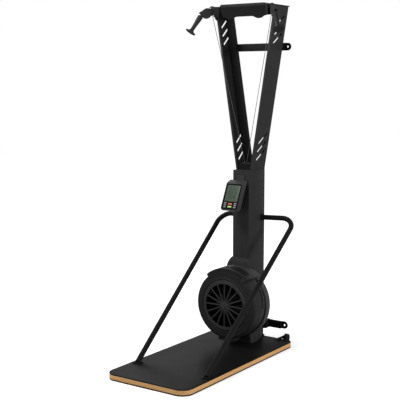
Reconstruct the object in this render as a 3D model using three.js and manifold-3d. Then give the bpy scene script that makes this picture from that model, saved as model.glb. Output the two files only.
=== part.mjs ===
// Standing ski trainer: a low platform, a column with two spreading arms, an air fan turned by two
// cords, two pull handles, two hand rails and a tilting console. Millimetres, +Z up, +X to the
// user's right when facing the column, -Y towards the user. The origin is on the floor under the
// middle of the column.
import * as THREE from "three";
import { mergeVertices } from "three/addons/utils/BufferGeometryUtils.js";
import Module from "manifold-3d";

const wasm = await Module();
wasm.setup();

// Shared clearances and facet counts
const FIT = 0.3;
const RUNNING = 0.35;
const OVERRUN = 6;
const SIDES = [["left", -1], ["right", 1]];
const FINE = 40;
const ROUND = 16;
const SMALL = 12;
const SWEPT = 6;
const CORNER = 2;
const EDGE = 1;
const CORD_SIDES = 8;
const FULL_TURN = 2 * Math.PI;
const degrees = (angle) => THREE.MathUtils.degToRad(angle);

// Driving dimensions, from the floor up
const PLATFORM = {
  width: 600, frontY: -1151, rearY: 98, underlay: 8, board: 26, mat: 6,
  frontCorner: 72, rearCorner: 50,
};
const COLUMN = { width: 127, depth: 203, wall: 4, corner: 5, height: 1144, topPlate: 5 };
const FOOT_PLATE = { side: 6.5, end: 12.5, thick: 6, corner: 12, boltSide: 20, boltInset: 6.6, bolt: 5 };
const PEDESTAL = {
  sideRoom: 4.5, frontRoom: 4, flare: 28.5, shoulder: 63, topSide: 3.5, topFlare: 7, setback: 10,
  topShoulder: 33, height: 112, wall: 2.6, corner: 20,
};
const ARM = {
  height: 1062.7, rootInset: 3.5, topX: 230, frontY: -66, plate: 4, lip: 13, flange: 34,
  foldY: 38, foldX: 9, hoodFrontY: -88, hoodHeight: 72, hoodCorner: 16,
};
const SLOTS = {
  upperDrop: 94, lowerRise: 207.7, pitch: 55.5, count: 3, middleY: 21, run: 92, rise: 69, width: 12,
};
const HEAD = {
  plate: 4, overhang: 10, wing: 34, cheek: 65, rearLap: 2.5, frontY: -105, pinFrontY: -124,
  panRise: 12.5, panWall: 3, panInset: 3, panRearY: 58, panSlope: 10, skirt: 64, skirtWall: 4,
};
const FASCIA = { drop: 79, archDrop: 64, endDrop: 62, lobeX: 108, archX: 52, setback: 38, thick: 6 };
const REAR_PANEL = { height: 44, thick: 3, inset: 6 };
const WALL_BAR = {
  height: 50, depth: 20, wall: 3, halfLength: 196, tab: 6, tabEnd: 243, holeX: 219, hole: 7,
};
const UPPER_BAR = { drop: 255 };
const LOWER_BAR = { rise: 91 };
const SLEEVE = { gap: 1, width: 38.5, wall: 4, reach: 37.5 };
const RAIL = {
  radius: 17, footInset: 40, footY: -881, cornerInset: 8, cornerY: 127, cornerRise: 828, endY: 46,
  bend: 76, bendSteps: 7, collar: 25, collarThick: 5,
};
const RAIL_FOOT = { width: 50, length: 58, thick: 5, corner: 14 };

// Fan, its shells and its drive. Angles are in degrees from +X towards +Z
const STRAIGHT_UP = 90;
const FAN = { axisRise: 280 };
const SHELL = {
  ringY: -298, frontY: -291, faceY: -287, lip: 150, ring: 163, ringFoot: 166, step: 176, stepFoot: 180,
  shoulder: 208, outer: 228, splitY: -190, wall: 4, roundSteps: 4, chinHalf: 60, chinDrop: 14,
  chinRound: 20, chinFrontY: -276, chinRearY: -200,
};
const BACK_SHELL = { outer: 235, band: 220, frontY: -144, stepY: -151, round: 7, bore: 13, wall: 4 };
const HOOD = {
  outer: 246, wall: 4, round: 9, frontY: -281, fromAngle: 49.5, toAngle: 128.5,
  windowFromAngle: 62, windowToAngle: 126, windowFrontY: -263, windowRearY: -200,
};
const PASSAGE = { halfAngle: 37 };
const OUTLET = { ribs: 19, rib: 3, rails: 3, rail: 3.2, thick: 4 };
const DAMPER = {
  inner: 207, outer: 212.4, fromAngle: 24, toAngle: 136, leverAngle: 28, travelAngle: 30,
  slackAngle: 3, tab: 10, tabReach: 27, tabDepth: 11, middleY: -172, halfDepth: 13,
};
const GRILLE = {
  rim: 149.6, rimInner: 143, frontY: -300, rimDepth: 8, spokes: 16, spoke: 8, spokeDepth: 6,
  hub: 22, hubRise: 2, hubDepth: 9,
};
const IMPELLER = {
  outer: 190, disc: 3.5, backY: -172, frontY: -262, blades: 20, bladeInner: 62, blade: 2.6,
  sweepAngle: 20, hub: 30, hubFrontY: -272, ringInner: 168, ring: 4,
};
const AXLE = { radius: 8, frontY: -284, nut: 14, nutThick: 7 };
const CARRIER = { height: 96, thick: 5, bearing: 21, bearingDepth: 12, rearY: 14 };
const DRUM = { radius: 22.5, flange: 30, flangeThick: 2.5, width: 26, rightY: -58, leftY: -20 };
const NECK = {
  bottomRise: 226, bottomSide: 24.5, bottomProud: 37.5, middleRise: 251, middleSide: 20,
  middleProud: 30.5, upperRise: 275, upperSide: 12.5, upperProud: 18.5, topRise: 291, topSide: 3,
  topProud: 3.5, cheek: 49.5,
};

// Cords, guide pulleys, pods and handles
const CORD = { radius: 2, guideY: -40 };
const GUIDE = {
  x: 20, rise: 28.7, groove: 14.7, flange: 18.4, width: 9, pin: 4, plate: 4, half: 44, ear: 3,
  earGap: 11, earHeight: 42, mouth: 30,
};
const POD = {
  inset: 12, y: -108, leftYawAngle: 53, rightYawAngle: 43, headGap: 4.3, thick: 20, cavity: 14, wall: 4,
  tailS: -12, tailDrop: 42, crownS: 44, noseS: 90, noseDrop: 30, lobe: 32, lobeTailAngle: 150,
  lobeHeelAngle: 55,
};
const POD_PULLEY = { s: 40, drop: 36, groove: 20, flange: 24.5, width: 13, pin: 4, head: 7, headThick: 2.5 };
const SWIVEL = { pin: 6, head: 11, headThick: 5 };
const HANDLE = {
  seatS: 74, seatDrop: 46, dropAngle: 55.72, start: 9.4, length: 127, top: 18, waist: 14.5,
  neck: 12.6, flare: 36, rim: 3.5, flareLength: 26, dish: 5,
};
const FERRULE = { start: 3.6, tip: 7.5, radius: 12, shoulder: 2.4, end: 9, tail: 25 };

// Console, keys and transport wheels
const CONSOLE = {
  faceY: -212, faceDrop: 158, leanAngle: 24.7, half: 64, faceHalf: 90, deep: 38, hoodTop: 126,
  hoodBack: 116, hoodFront: 101, chin: 98, chinBack: 70, edge: 9, hingeN: 48, hingeU: 75, knuckle: 9,
  knuckleHalf: 10, pin: 4,
};
const SCREEN = { half: 50, top: 77, bottom: -35, recess: 3, thick: 2.3, corner: 3 };
const KEYS = {
  wide: 30, tall: 11, small: 19, smallTall: 8, sideX: 38, redU: -52, greenU: -71, firstU: -47,
  pitch: 13.5, proud: 1.2, seat: 4, pocket: 6.4, corner: 2.5, gap: 0.4,
};
const CONSOLE_BRACKET = { half: 28, topDrop: 28, bottomDrop: 138, plate: 4, ear: 6 };
const WHEEL = {
  inset: 71, y: 129, z: 42, radius: 28, width: 25, tread: 3, bore: 5, hub: 12, hubProud: 1.5,
  earInset: 94, ear: 6, boss: 14, baseInset: 118, baseFrontY: 46, base: 4, cap: 9, capThick: 3,
};

// Heights and places that follow from the sizes above
const platformTop = PLATFORM.underlay + PLATFORM.board + PLATFORM.mat;
const columnBottom = platformTop + FOOT_PLATE.thick;
const columnTop = columnBottom + COLUMN.height;
const plateHalfX = COLUMN.width / 2 + FOOT_PLATE.side;
const plateHalfY = COLUMN.depth / 2 + FOOT_PLATE.end;
const armBottom = columnTop + COLUMN.topPlate + FIT;
const columnFront = -COLUMN.depth / 2;
const columnRear = COLUMN.depth / 2;
const armTop = armBottom + ARM.height;
const armRootX = COLUMN.width / 2 - ARM.rootInset;
const armSlope = (ARM.topX - armRootX) / ARM.height;
const armTilt = Math.atan(armSlope);
const armXAt = (z) => armRootX + armSlope * (z - armBottom);
const headPlateZ = armTop + FIT;
const headHalf = ARM.topX + HEAD.overhang;
const fasciaHalf = headHalf - HEAD.cheek;
const podX = headHalf - POD.inset;
const fanZ = platformTop + FAN.axisRise;
const railZ = platformTop + RAIL.cornerRise;
const railFootX = PLATFORM.width / 2 - RAIL.footInset;
const railCornerX = PLATFORM.width / 2 - RAIL.cornerInset;
const wheelX = PLATFORM.width / 2 - WHEEL.inset;
const guideZ = armBottom + GUIDE.rise;
const podTop = headPlateZ - POD.headGap;
const podPulleyZ = podTop - POD_PULLEY.drop;
const consoleZ = columnTop - CONSOLE.faceDrop;

// Materials
const finish = (color, roughness, metalness) =>
  new THREE.MeshStandardMaterial({ color, roughness, metalness });
const steelBlack = () => finish(0x2b2b2c, 0.5, 0.3);
const steelDark = () => finish(0x1b1b1c, 0.55, 0.3);
const plasticBlack = () => finish(0x1f1f20, 0.6, 0);
const plasticGrey = () => finish(0x333436, 0.6, 0);
const rubberBlack = () => finish(0x141414, 0.9, 0);
const bareSteel = () => finish(0x8b8d90, 0.35, 0.9);
const wood = () => finish(0xc99a5c, 0.55, 0);
const cordBlack = () => finish(0x3a3a3b, 0.8, 0);
const keyGrey = () => finish(0xb9bcc0, 0.5, 0);
const keyRed = () => finish(0xc8352e, 0.45, 0);
const keyGreen = () => finish(0xa7d36a, 0.45, 0);
const glassGreen = () => finish(0x5c7a60, 0.2, 0);

// Solids: closed geometry in, closed geometry out
function solid(geometry) {
  const bare = geometry.clone();
  bare.deleteAttribute("normal");
  bare.deleteAttribute("uv");
  const merged = mergeVertices(bare);
  const source = merged.index.array;
  const kept = [];
  for (let i = 0; i < source.length; i += 3) {
    const [a, b, c] = [source[i], source[i + 1], source[i + 2]];
    if (a !== b && b !== c && a !== c) kept.push(a, b, c);
  }
  const points = merged.attributes.position.array;
  if (signedVolume(points, kept) < 0) kept.reverse();
  return new wasm.Manifold(new wasm.Mesh({
    numProp: 3,
    vertProperties: new Float32Array(points),
    triVerts: new Uint32Array(kept),
  }));
}

function signedVolume(points, triangles) {
  const corner = (index) => new THREE.Vector3().fromArray(points, 3 * index);
  let volume = 0;
  for (let i = 0; i < triangles.length; i += 3) {
    const [a, b, c] = [corner(triangles[i]), corner(triangles[i + 1]), corner(triangles[i + 2])];
    volume += a.dot(b.cross(c));
  }
  return volume;
}

function surface(body) {
  const mesh = body.getMesh();
  const geometry = new THREE.BufferGeometry();
  geometry.setAttribute("position", new THREE.BufferAttribute(mesh.vertProperties, mesh.numProp));
  geometry.setIndex(new THREE.BufferAttribute(mesh.triVerts, 1));
  const faceted = geometry.toNonIndexed();
  faceted.computeVertexNormals();
  return faceted;
}

const join = (bodies) => bodies.reduce((whole, body) => whole.add(body));
const cut = (body, cutters) => cutters.reduce((rest, cutter) => rest.subtract(cutter), body);

function piece(parent, name, body, material) {
  const mesh = new THREE.Mesh(surface(body), material);
  mesh.name = name;
  parent.add(mesh);
  return mesh;
}

// Shapes and the ways to give them depth
function block(x0, x1, y0, y1, z0, z1) {
  const geometry = new THREE.BoxGeometry(x1 - x0, y1 - y0, z1 - z0);
  return solid(geometry.translate((x0 + x1) / 2, (y0 + y1) / 2, (z0 + z1) / 2));
}

function extrudeZ(shape, z0, z1, curveSegments = CORNER) {
  const geometry = new THREE.ExtrudeGeometry(shape, { depth: z1 - z0, bevelEnabled: false, curveSegments });
  return solid(geometry.translate(0, 0, z0));
}

// A shape drawn in X and Z, given depth along Y
function extrudeY(shape, y0, y1, curveSegments = CORNER) {
  const geometry = new THREE.ExtrudeGeometry(shape, { depth: y1 - y0, bevelEnabled: false, curveSegments });
  return solid(geometry.rotateX(Math.PI / 2).translate(0, y1, 0));
}

// A shape drawn in Y and Z, given depth along X
function extrudeX(shape, x0, x1, curveSegments = CORNER) {
  const geometry = new THREE.ExtrudeGeometry(shape, { depth: x1 - x0, bevelEnabled: false, curveSegments });
  return solid(geometry.rotateY(Math.PI / 2).rotateX(Math.PI / 2).translate(x0, 0, 0));
}

function cylinderY(radius, y0, y1, segments = ROUND, x = 0, z = 0) {
  const geometry = new THREE.CylinderGeometry(radius, radius, y1 - y0, segments);
  return solid(geometry.translate(x, (y0 + y1) / 2, z));
}

function cylinderX(radius, x0, x1, segments = ROUND, y = 0, z = 0) {
  const geometry = new THREE.CylinderGeometry(radius, radius, x1 - x0, segments);
  return solid(geometry.rotateZ(Math.PI / 2).translate((x0 + x1) / 2, y, z));
}

function cylinderZ(radius, z0, z1, segments = ROUND, x = 0, y = 0) {
  const geometry = new THREE.CylinderGeometry(radius, radius, z1 - z0, segments);
  return solid(geometry.rotateX(Math.PI / 2).translate(x, y, (z0 + z1) / 2));
}

// A closed profile of [radius, height] pairs turned about the Y axis
function turned(profile, segments = FINE) {
  const points = profile.map(([radius, y]) => new THREE.Vector2(radius, y));
  points.push(points[0].clone());
  return solid(new THREE.LatheGeometry(points, segments));
}

function roundedRectangle(x0, x1, y0, y1, lowCorner, highCorner = lowCorner) {
  const shape = new THREE.Shape();
  shape.absarc(x1 - lowCorner, y0 + lowCorner, lowCorner, -Math.PI / 2, 0);
  shape.absarc(x1 - highCorner, y1 - highCorner, highCorner, 0, Math.PI / 2);
  shape.absarc(x0 + highCorner, y1 - highCorner, highCorner, Math.PI / 2, Math.PI);
  shape.absarc(x0 + lowCorner, y0 + lowCorner, lowCorner, Math.PI, 1.5 * Math.PI);
  return shape;
}

function polygon(corners) {
  return new THREE.Shape(corners.map(([a, b]) => new THREE.Vector2(a, b)));
}

function ringSector(inner, outer, fromDegrees, toDegrees) {
  const shape = new THREE.Shape();
  shape.absarc(0, 0, outer, degrees(fromDegrees), degrees(toDegrees), false);
  shape.absarc(0, 0, inner, degrees(toDegrees), degrees(fromDegrees), true);
  return shape;
}

// A closed body between outlines of equal count, each at its own height
function loft(levels) {
  const count = levels[0].outline.length;
  const positions = levels.flatMap(({ outline, z }) => outline.flatMap(([x, y]) => [x, y, z]));
  const triangles = [];
  for (let level = 0; level + 1 < levels.length; level++) {
    for (let i = 0; i < count; i++) {
      const a = level * count + i;
      const b = level * count + (i + 1) % count;
      triangles.push(a, b, b + count, a, b + count, a + count);
    }
  }
  const cap = (level, flip) => {
    const ring = levels[level].outline.map(([x, y]) => new THREE.Vector2(x, y));
    for (const face of THREE.ShapeUtils.triangulateShape(ring, [])) {
      const ordered = flip ? [...face].reverse() : face;
      triangles.push(...ordered.map((index) => level * count + index));
    }
  };
  cap(0, true);
  cap(levels.length - 1, false);
  const geometry = new THREE.BufferGeometry();
  geometry.setAttribute("position", new THREE.Float32BufferAttribute(positions, 3));
  geometry.setIndex(triangles);
  return solid(geometry);
}

function outlineOf(shape, divisions = CORNER) {
  return shape.getPoints(divisions).map((point) => [point.x, point.y]);
}

// A path through corners, each rounded to a radius, with its points crowded into the bends
class BentPath extends THREE.Curve {
  constructor(corners, radius, bendSteps) {
    super();
    this.points = [corners[0]];
    for (let i = 1; i + 1 < corners.length; i++) {
      this.points.push(...bend(corners[i - 1], corners[i], corners[i + 1], radius, bendSteps));
    }
    this.points.push(corners[corners.length - 1]);
  }

  getUtoTmapping(u) {
    return u;
  }

  getPoint(t, target = new THREE.Vector3()) {
    const place = t * (this.points.length - 1);
    const index = Math.min(Math.floor(place), this.points.length - 2);
    return target.lerpVectors(this.points[index], this.points[index + 1], place - index);
  }

  getTangent(t, target = new THREE.Vector3()) {
    const last = this.points.length - 1;
    const index = Math.round(t * last);
    const before = this.points[Math.max(index - 1, 0)];
    const after = this.points[Math.min(index + 1, last)];
    const here = this.points[index];
    const arriving = here.clone().sub(before).normalize();
    const leaving = after.clone().sub(here).normalize();
    return target.addVectors(arriving, leaving).normalize();
  }
}

// Points of the arc that rounds one corner, touching both of its legs
function bend(before, corner, after, radius, steps) {
  const towards = before.clone().sub(corner).normalize();
  const away = after.clone().sub(corner).normalize();
  const half = towards.angleTo(away) / 2;
  const middle = towards.clone().add(away).normalize();
  const centre = corner.clone().addScaledVector(middle, radius / Math.sin(half));
  const first = corner.clone().addScaledVector(towards, radius / Math.tan(half)).sub(centre);
  const last = corner.clone().addScaledVector(away, radius / Math.tan(half)).sub(centre);
  const sweep = first.angleTo(last);
  const axis = first.clone().cross(last).normalize();
  return Array.from({ length: steps + 1 }, (_, step) =>
    first.clone().applyAxisAngle(axis, sweep * step / steps).add(centre));
}

function tube(path, radius, sides) {
  const section = new THREE.Shape();
  section.absarc(0, 0, radius, 0, FULL_TURN);
  return solid(new THREE.ExtrudeGeometry(section, {
    extrudePath: path, steps: path.points.length - 1, curveSegments: sides / 2, bevelEnabled: false,
  }));
}

const vector = (x, y, z) => new THREE.Vector3(x, y, z);
const trainer = new THREE.Group();

// Platform: rubber underlay, plywood board and a grip mat
function platformLayer(name, z0, z1, material) {
  const half = PLATFORM.width / 2;
  const outline = roundedRectangle(-half, half, PLATFORM.frontY, PLATFORM.rearY,
    PLATFORM.frontCorner, PLATFORM.rearCorner);
  piece(trainer, name, extrudeZ(outline, z0, z1, SWEPT), material);
}

platformLayer("base_underlay", 0, PLATFORM.underlay, rubberBlack());
platformLayer("base_board", PLATFORM.underlay, PLATFORM.underlay + PLATFORM.board, wood());
platformLayer("base_mat", PLATFORM.underlay + PLATFORM.board, platformTop, rubberBlack());

// Column: a hollow steel box on a foot plate, opened for the fan's axle
function columnTube() {
  const halfX = COLUMN.width / 2;
  const outline = roundedRectangle(-halfX, halfX, columnFront, columnRear, COLUMN.corner);
  const insideX = halfX - COLUMN.wall;
  const [insideFront, insideRear] = [columnFront + COLUMN.wall, columnRear - COLUMN.wall];
  outline.holes.push(polygon([
    [-insideX, insideFront], [insideX, insideFront], [insideX, insideRear], [-insideX, insideRear],
  ]));
  const axleHole = cylinderY(CARRIER.bearing + FIT, columnFront - OVERRUN,
    columnFront + COLUMN.wall + OVERRUN, ROUND, 0, fanZ);
  return cut(extrudeZ(outline, columnBottom + FIT, columnTop, EDGE), [axleHole]);
}

// A hexagon bolt head seated on a plate whose top is at z
function boltHead(x, y, z) {
  return cylinderZ(FOOT_PLATE.bolt, z - FIT, z + FOOT_PLATE.thick, 6, x, y);
}

function footPlate() {
  const outline = roundedRectangle(-plateHalfX, plateHalfX, -plateHalfY, plateHalfY, FOOT_PLATE.corner);
  const bolts = SIDES.flatMap(([, side]) => [-1, 1].map((end) => boltHead(
    side * (plateHalfX - FOOT_PLATE.boltSide), end * (plateHalfY - FOOT_PLATE.boltInset), columnBottom)));
  return join([extrudeZ(outline, platformTop, columnBottom), ...bolts]);
}

// The plate that closes the column and lets the two cords in
function topPlate() {
  const halfX = COLUMN.width / 2;
  const outline = roundedRectangle(-halfX, halfX, columnFront, columnRear, COLUMN.corner);
  const mouth = block(-GUIDE.mouth, GUIDE.mouth, CORD.guideY - GUIDE.earGap,
    CORD.guideY + GUIDE.earGap, columnTop - OVERRUN, armBottom + OVERRUN);
  return cut(extrudeZ(outline, columnTop + FIT / 2, armBottom - FIT / 2, EDGE), [mouth]);
}

piece(trainer, "column_foot_plate", footPlate(), steelDark());
piece(trainer, "column", columnTube(), steelBlack());
piece(trainer, "column_top_plate", topPlate(), steelBlack());

// Pedestal cover: a shell round the foot of the column, wider in front and cut away for the fan
function pedestalOutline(rearX, frontX, frontY, shoulderY, inset) {
  const [rear, half, front] = [rearX - inset, frontX - inset, frontY + inset];
  const corner = PEDESTAL.corner - inset;
  const rearY = columnRear - SLEEVE.reach - FIT;
  const shape = new THREE.Shape();
  shape.moveTo(-rear, rearY);
  shape.lineTo(-half, shoulderY);
  shape.absarc(corner - half, front + corner, corner, Math.PI, 1.5 * Math.PI);
  shape.absarc(half - corner, front + corner, corner, 1.5 * Math.PI, FULL_TURN);
  shape.lineTo(half, shoulderY);
  shape.lineTo(rear, rearY);
  return outlineOf(shape);
}

function pedestalVolume(z0, z1, inset) {
  const { sideRoom, frontRoom, flare, shoulder, topSide, topFlare, setback, topShoulder } = PEDESTAL;
  const rearX = plateHalfX + sideRoom;
  const topX = COLUMN.width / 2 + topSide;
  const frontY = -plateHalfY - frontRoom;
  const topY = frontY + setback;
  return loft([
    { z: z0, outline: pedestalOutline(rearX, rearX + flare, frontY, frontY + shoulder, inset) },
    { z: z1, outline: pedestalOutline(topX, topX + topFlare, topY, topY + topShoulder, inset) },
  ]);
}

function pedestal() {
  const z0 = platformTop;
  const z1 = platformTop + PEDESTAL.height;
  const halfX = COLUMN.width / 2 + FIT;
  const columnGap = block(-halfX, halfX, columnFront - FIT, columnRear + FIT, z0 - OVERRUN, z1 + OVERRUN);
  const fanGap = cylinderY(BACK_SHELL.outer + FIT, SHELL.frontY, columnFront - FIT, FINE, 0, fanZ);
  const inside = pedestalVolume(z0 - PEDESTAL.wall, z1 - PEDESTAL.wall, PEDESTAL.wall);
  return cut(pedestalVolume(z0, z1, 0), [inside, columnGap, fanGap]);
}

piece(trainer, "pedestal_cover", pedestal(), plasticBlack());

// Arms: folded plates with a front lip and a closed fold along the back
function armSection() {
  const { frontY, plate, lip, flange, foldY, foldX } = ARM;
  const rearY = columnRear;
  const section = polygon([
    [0, frontY], [0, rearY], [-flange, rearY], [-flange, rearY - plate], [-foldX, foldY],
    [-plate, foldY], [-plate, frontY + plate], [-lip, frontY + plate], [-lip, frontY],
  ]);
  section.holes.push(polygon([
    [-plate, foldY + 2 * plate], [plate - flange, rearY - plate], [-plate, rearY - plate],
  ]));
  return section;
}

// The slots lean back as they rise, and are cut through the outer plate only
function slotCutter(z) {
  const reach = new THREE.Vector2(SLOTS.run, SLOTS.rise).length();
  const shape = roundedRectangle(-reach / 2, reach / 2, -SLOTS.width / 2, SLOTS.width / 2, SLOTS.width / 2);
  const geometry = new THREE.ExtrudeGeometry(shape, {
    depth: ARM.plate + 2 * FIT, bevelEnabled: false, curveSegments: CORNER,
  });
  geometry.rotateZ(Math.atan2(SLOTS.rise, SLOTS.run));
  geometry.rotateY(Math.PI / 2).rotateX(Math.PI / 2);
  return solid(geometry.translate(-ARM.plate - FIT, SLOTS.middleY, (z - armBottom) / Math.cos(armTilt)));
}

// The arm stands along its own Z; its ends are cut level after it is tilted
function armBody() {
  const length = ARM.height / Math.cos(armTilt);
  const strip = extrudeZ(armSection(), -ARM.flange, length + ARM.flange);
  const hood = new THREE.Shape();
  hood.moveTo(ARM.frontY + ARM.plate, length - ARM.hoodHeight - ARM.hoodCorner);
  hood.lineTo(ARM.hoodFrontY, length - ARM.hoodHeight);
  hood.lineTo(ARM.hoodFrontY, length + ARM.flange);
  hood.lineTo(ARM.frontY + ARM.plate, length + ARM.flange);
  const cutters = [];
  for (const top of [armTop - SLOTS.upperDrop, armBottom + SLOTS.lowerRise]) {
    for (let i = 0; i < SLOTS.count; i++) cutters.push(slotCutter(top - i * SLOTS.pitch));
  }
  const whole = strip.add(extrudeX(hood, -ARM.plate, 0));
  const reach = 2 * ARM.flange;
  const level = (z0, z1) => solid(new THREE.BoxGeometry(2 * headHalf, 2 * COLUMN.depth, z1 - z0)
    .translate(armSlope * z0, 0, (z0 + z1) / 2).rotateY(-armTilt));
  return cut(whole, [...cutters, level(-reach, 0), level(ARM.height, ARM.height + reach)]);
}

// A body built for the right side, mirrored for the left
function handed(body, side) {
  return side > 0 ? body : body.mirror([1, 0, 0]);
}

for (const [word, side] of SIDES) {
  const mesh = piece(trainer, `${word}_arm`, handed(armBody(), side), steelBlack());
  mesh.position.set(side * armRootX, 0, armBottom);
  mesh.rotation.y = side * armTilt;
}

// Head: a top plate with a raised pan, side skirts, a slanted fascia and a rear panel
function headTop() {
  const { frontY, pinFrontY, panInset, panRearY } = HEAD;
  const rearY = columnRear + HEAD.rearLap;
  const wingX = headHalf - HEAD.wing;
  const z0 = headPlateZ;
  const z1 = z0 + HEAD.plate;
  const plan = polygon([
    [-headHalf, rearY], [-headHalf, pinFrontY], [-wingX, pinFrontY], [-fasciaHalf, frontY],
    [fasciaHalf, frontY], [wingX, pinFrontY], [headHalf, pinFrontY], [headHalf, rearY],
  ]);
  const pan = (inset, low, high) => loft([low, high].map((z, level) => {
    const grow = inset + level * HEAD.panSlope;
    const half = fasciaHalf - panInset - grow;
    const [front, rear] = [frontY + inset + level * FIT, panRearY - grow];
    return { z, outline: [[-half, front], [half, front], [half, rear], [-half, rear]] };
  }));
  const skirts = SIDES.map(([, side]) => {
    const nose = [side * wingX, pinFrontY];
    const root = [side * fasciaHalf, frontY];
    const along = new THREE.Vector2(nose[0] - root[0], nose[1] - root[1]).normalize();
    const back = [side * -along.y * HEAD.skirtWall, side * along.x * HEAD.skirtWall];
    const wall = [root, nose, [nose[0] + back[0], nose[1] + back[1]], [root[0] + back[0], root[1] + back[1]]];
    return extrudeZ(polygon(wall), z0 - HEAD.skirt, z0 + FIT);
  });
  const pinHoles = SIDES.map(([, side]) =>
    cylinderZ(SWIVEL.pin + RUNNING, z0 - OVERRUN, z1 + OVERRUN, ROUND, side * podX, POD.y));
  const plate = extrudeZ(plan, z0, z1);
  const raised = pan(0, z1 - FIT, z1 + HEAD.panRise);
  const hollow = pan(HEAD.panWall, z0 - OVERRUN, z1 + HEAD.panRise - HEAD.panWall);
  return cut(join([plate, raised, ...skirts]), [hollow, ...pinHoles]);
}

// The fascia's lower edge swells into two lobes with an arch between them
function fasciaBody() {
  const lean = Math.atan2(FASCIA.setback, FASCIA.drop);
  const along = 1 / Math.cos(lean);
  const half = fasciaHalf - HEAD.skirtWall;
  const down = (drop) => -drop * along;
  const shape = new THREE.Shape();
  shape.moveTo(-half, 0);
  shape.lineTo(-half, down(FASCIA.endDrop));
  for (const side of [-1, 1]) {
    const [first, last] = side < 0
      ? [[-FASCIA.lobeX, FASCIA.drop], [-FASCIA.archX, FASCIA.archDrop]]
      : [[FASCIA.lobeX, FASCIA.drop], [half, FASCIA.endDrop]];
    if (side > 0) shape.lineTo(FASCIA.archX, down(FASCIA.archDrop));
    const start = shape.currentPoint.clone();
    const control = (start.x + first[0]) / 2;
    shape.bezierCurveTo(control, start.y, control, down(first[1]), first[0], down(first[1]));
    const next = (first[0] + last[0]) / 2;
    shape.bezierCurveTo(next, down(first[1]), next, down(last[1]), last[0], down(last[1]));
  }
  shape.lineTo(half, 0);
  const geometry = new THREE.ExtrudeGeometry(shape, {
    depth: FASCIA.thick, bevelEnabled: false, curveSegments: SWEPT,
  });
  geometry.rotateX(Math.PI / 2).translate(0, FASCIA.thick, 0).rotateX(lean);
  const top = block(-headHalf, headHalf, -FASCIA.drop, FASCIA.drop, 0, FASCIA.drop);
  return solid(geometry).subtract(top);
}

function rearPanel() {
  const z1 = armTop;
  const z0 = z1 - REAR_PANEL.height;
  const half = (z) => armXAt(z) - REAR_PANEL.inset;
  const shape = polygon([[-half(z0), z0], [half(z0), z0], [half(z1), z1], [-half(z1), z1]]);
  return extrudeY(shape, columnRear + FIT, columnRear + FIT + REAR_PANEL.thick);
}

piece(trainer, "head_top_cover", headTop(), plasticBlack());
const fascia = piece(trainer, "head_fascia", fasciaBody(), plasticBlack());
fascia.position.set(0, HEAD.frontY, headPlateZ - FIT);
piece(trainer, "head_rear_panel", rearPanel(), steelDark());

// Wall bars: channels across the back, with a drilled tab at each end
function wallBar() {
  const { height, depth, wall, halfLength, tab, tabEnd, holeX, hole } = WALL_BAR;
  const half = height / 2;
  const outside = block(-halfLength, halfLength, 0, depth, -half, half);
  const inside = block(wall - halfLength, halfLength - wall, wall, depth + OVERRUN,
    wall - half, half - wall);
  const parts = [outside.subtract(inside)];
  for (const [, side] of SIDES) {
    const shape = new THREE.Shape();
    shape.moveTo(halfLength - tab, -half);
    shape.absarc(tabEnd - half, 0, half, -Math.PI / 2, Math.PI / 2);
    shape.lineTo(halfLength - tab, half);
    const drilled = extrudeY(shape, depth - tab, depth).subtract(
      cylinderY(hole, -OVERRUN, depth + OVERRUN, ROUND, holeX));
    parts.push(handed(drilled, side));
  }
  return join(parts);
}

const barY = columnRear + FIT;
piece(trainer, "upper_wall_bar", wallBar(), steelDark()).position.set(0, barY, armTop - UPPER_BAR.drop);

// The lower bar carries a welded sleeve at each side of the column
function sleevedBar() {
  const half = WALL_BAR.height / 2;
  const outer = half + SLEEVE.wall;
  const innerX = COLUMN.width / 2 + SLEEVE.gap;
  const outerX = innerX + SLEEVE.width;
  const bodies = SIDES.map(([, side]) => {
    const outside = block(innerX, outerX, -SLEEVE.reach - FIT, WALL_BAR.depth, -outer, outer);
    const inside = block(innerX - OVERRUN, outerX + OVERRUN, FIT,
      WALL_BAR.depth + OVERRUN, -half + FIT, half - FIT);
    return handed(outside.subtract(inside), side);
  });
  return join([wallBar(), ...bodies]);
}

const lowerBar = piece(trainer, "lower_wall_bar", sleevedBar(), steelDark());
lowerBar.position.set(0, barY, platformTop + LOWER_BAR.rise);

// Hand rails: one bent tube a side, from a welded foot plate up to the side of the column
function railBody() {
  const foot = vector(railFootX, RAIL.footY, platformTop);
  const corner = vector(railCornerX, RAIL.cornerY, railZ);
  const rise = corner.clone().sub(foot).normalize();
  const start = foot.clone().addScaledVector(rise, -RAIL.collar);
  const end = vector(0, RAIL.endY, railZ);
  const path = new BentPath([start, corner, end], RAIL.bend, RAIL.bendSteps);
  const columnSide = COLUMN.width / 2 + FIT;
  const collar = cylinderX(RAIL.collar, columnSide, columnSide + RAIL.collarThick, ROUND,
    railAtColumnY(columnSide), railZ);
  const under = block(0, 2 * railFootX, RAIL.footY - railFootX, RAIL.footY + railFootX,
    -OVERRUN, platformTop + FIT);
  const inColumn = block(-COLUMN.width, columnSide, columnFront - railFootX, columnRear + railFootX,
    railZ - railFootX, railZ + railFootX);
  const bent = cut(tube(path, RAIL.radius, SMALL).add(collar), [under, inColumn]);
  return bent.add(railFoot());
}

function railAtColumnY(x) {
  return RAIL.endY + (RAIL.cornerY - RAIL.endY) * x / railCornerX;
}

function railFoot() {
  const outline = roundedRectangle(railFootX - RAIL_FOOT.width / 2, railFootX + RAIL_FOOT.width / 2,
    RAIL.footY - RAIL_FOOT.length / 2, RAIL.footY + RAIL_FOOT.length / 2, RAIL_FOOT.corner);
  return extrudeZ(outline, platformTop + FIT, platformTop + FIT + RAIL_FOOT.thick);
}

for (const [word, side] of SIDES) {
  piece(trainer, `${word}_rail`, handed(railBody(), side), steelDark());
}

// Fan group: everything in it is placed about the fan's axis
const fan = new THREE.Group();
fan.position.z = fanZ;
trainer.add(fan);

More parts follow.
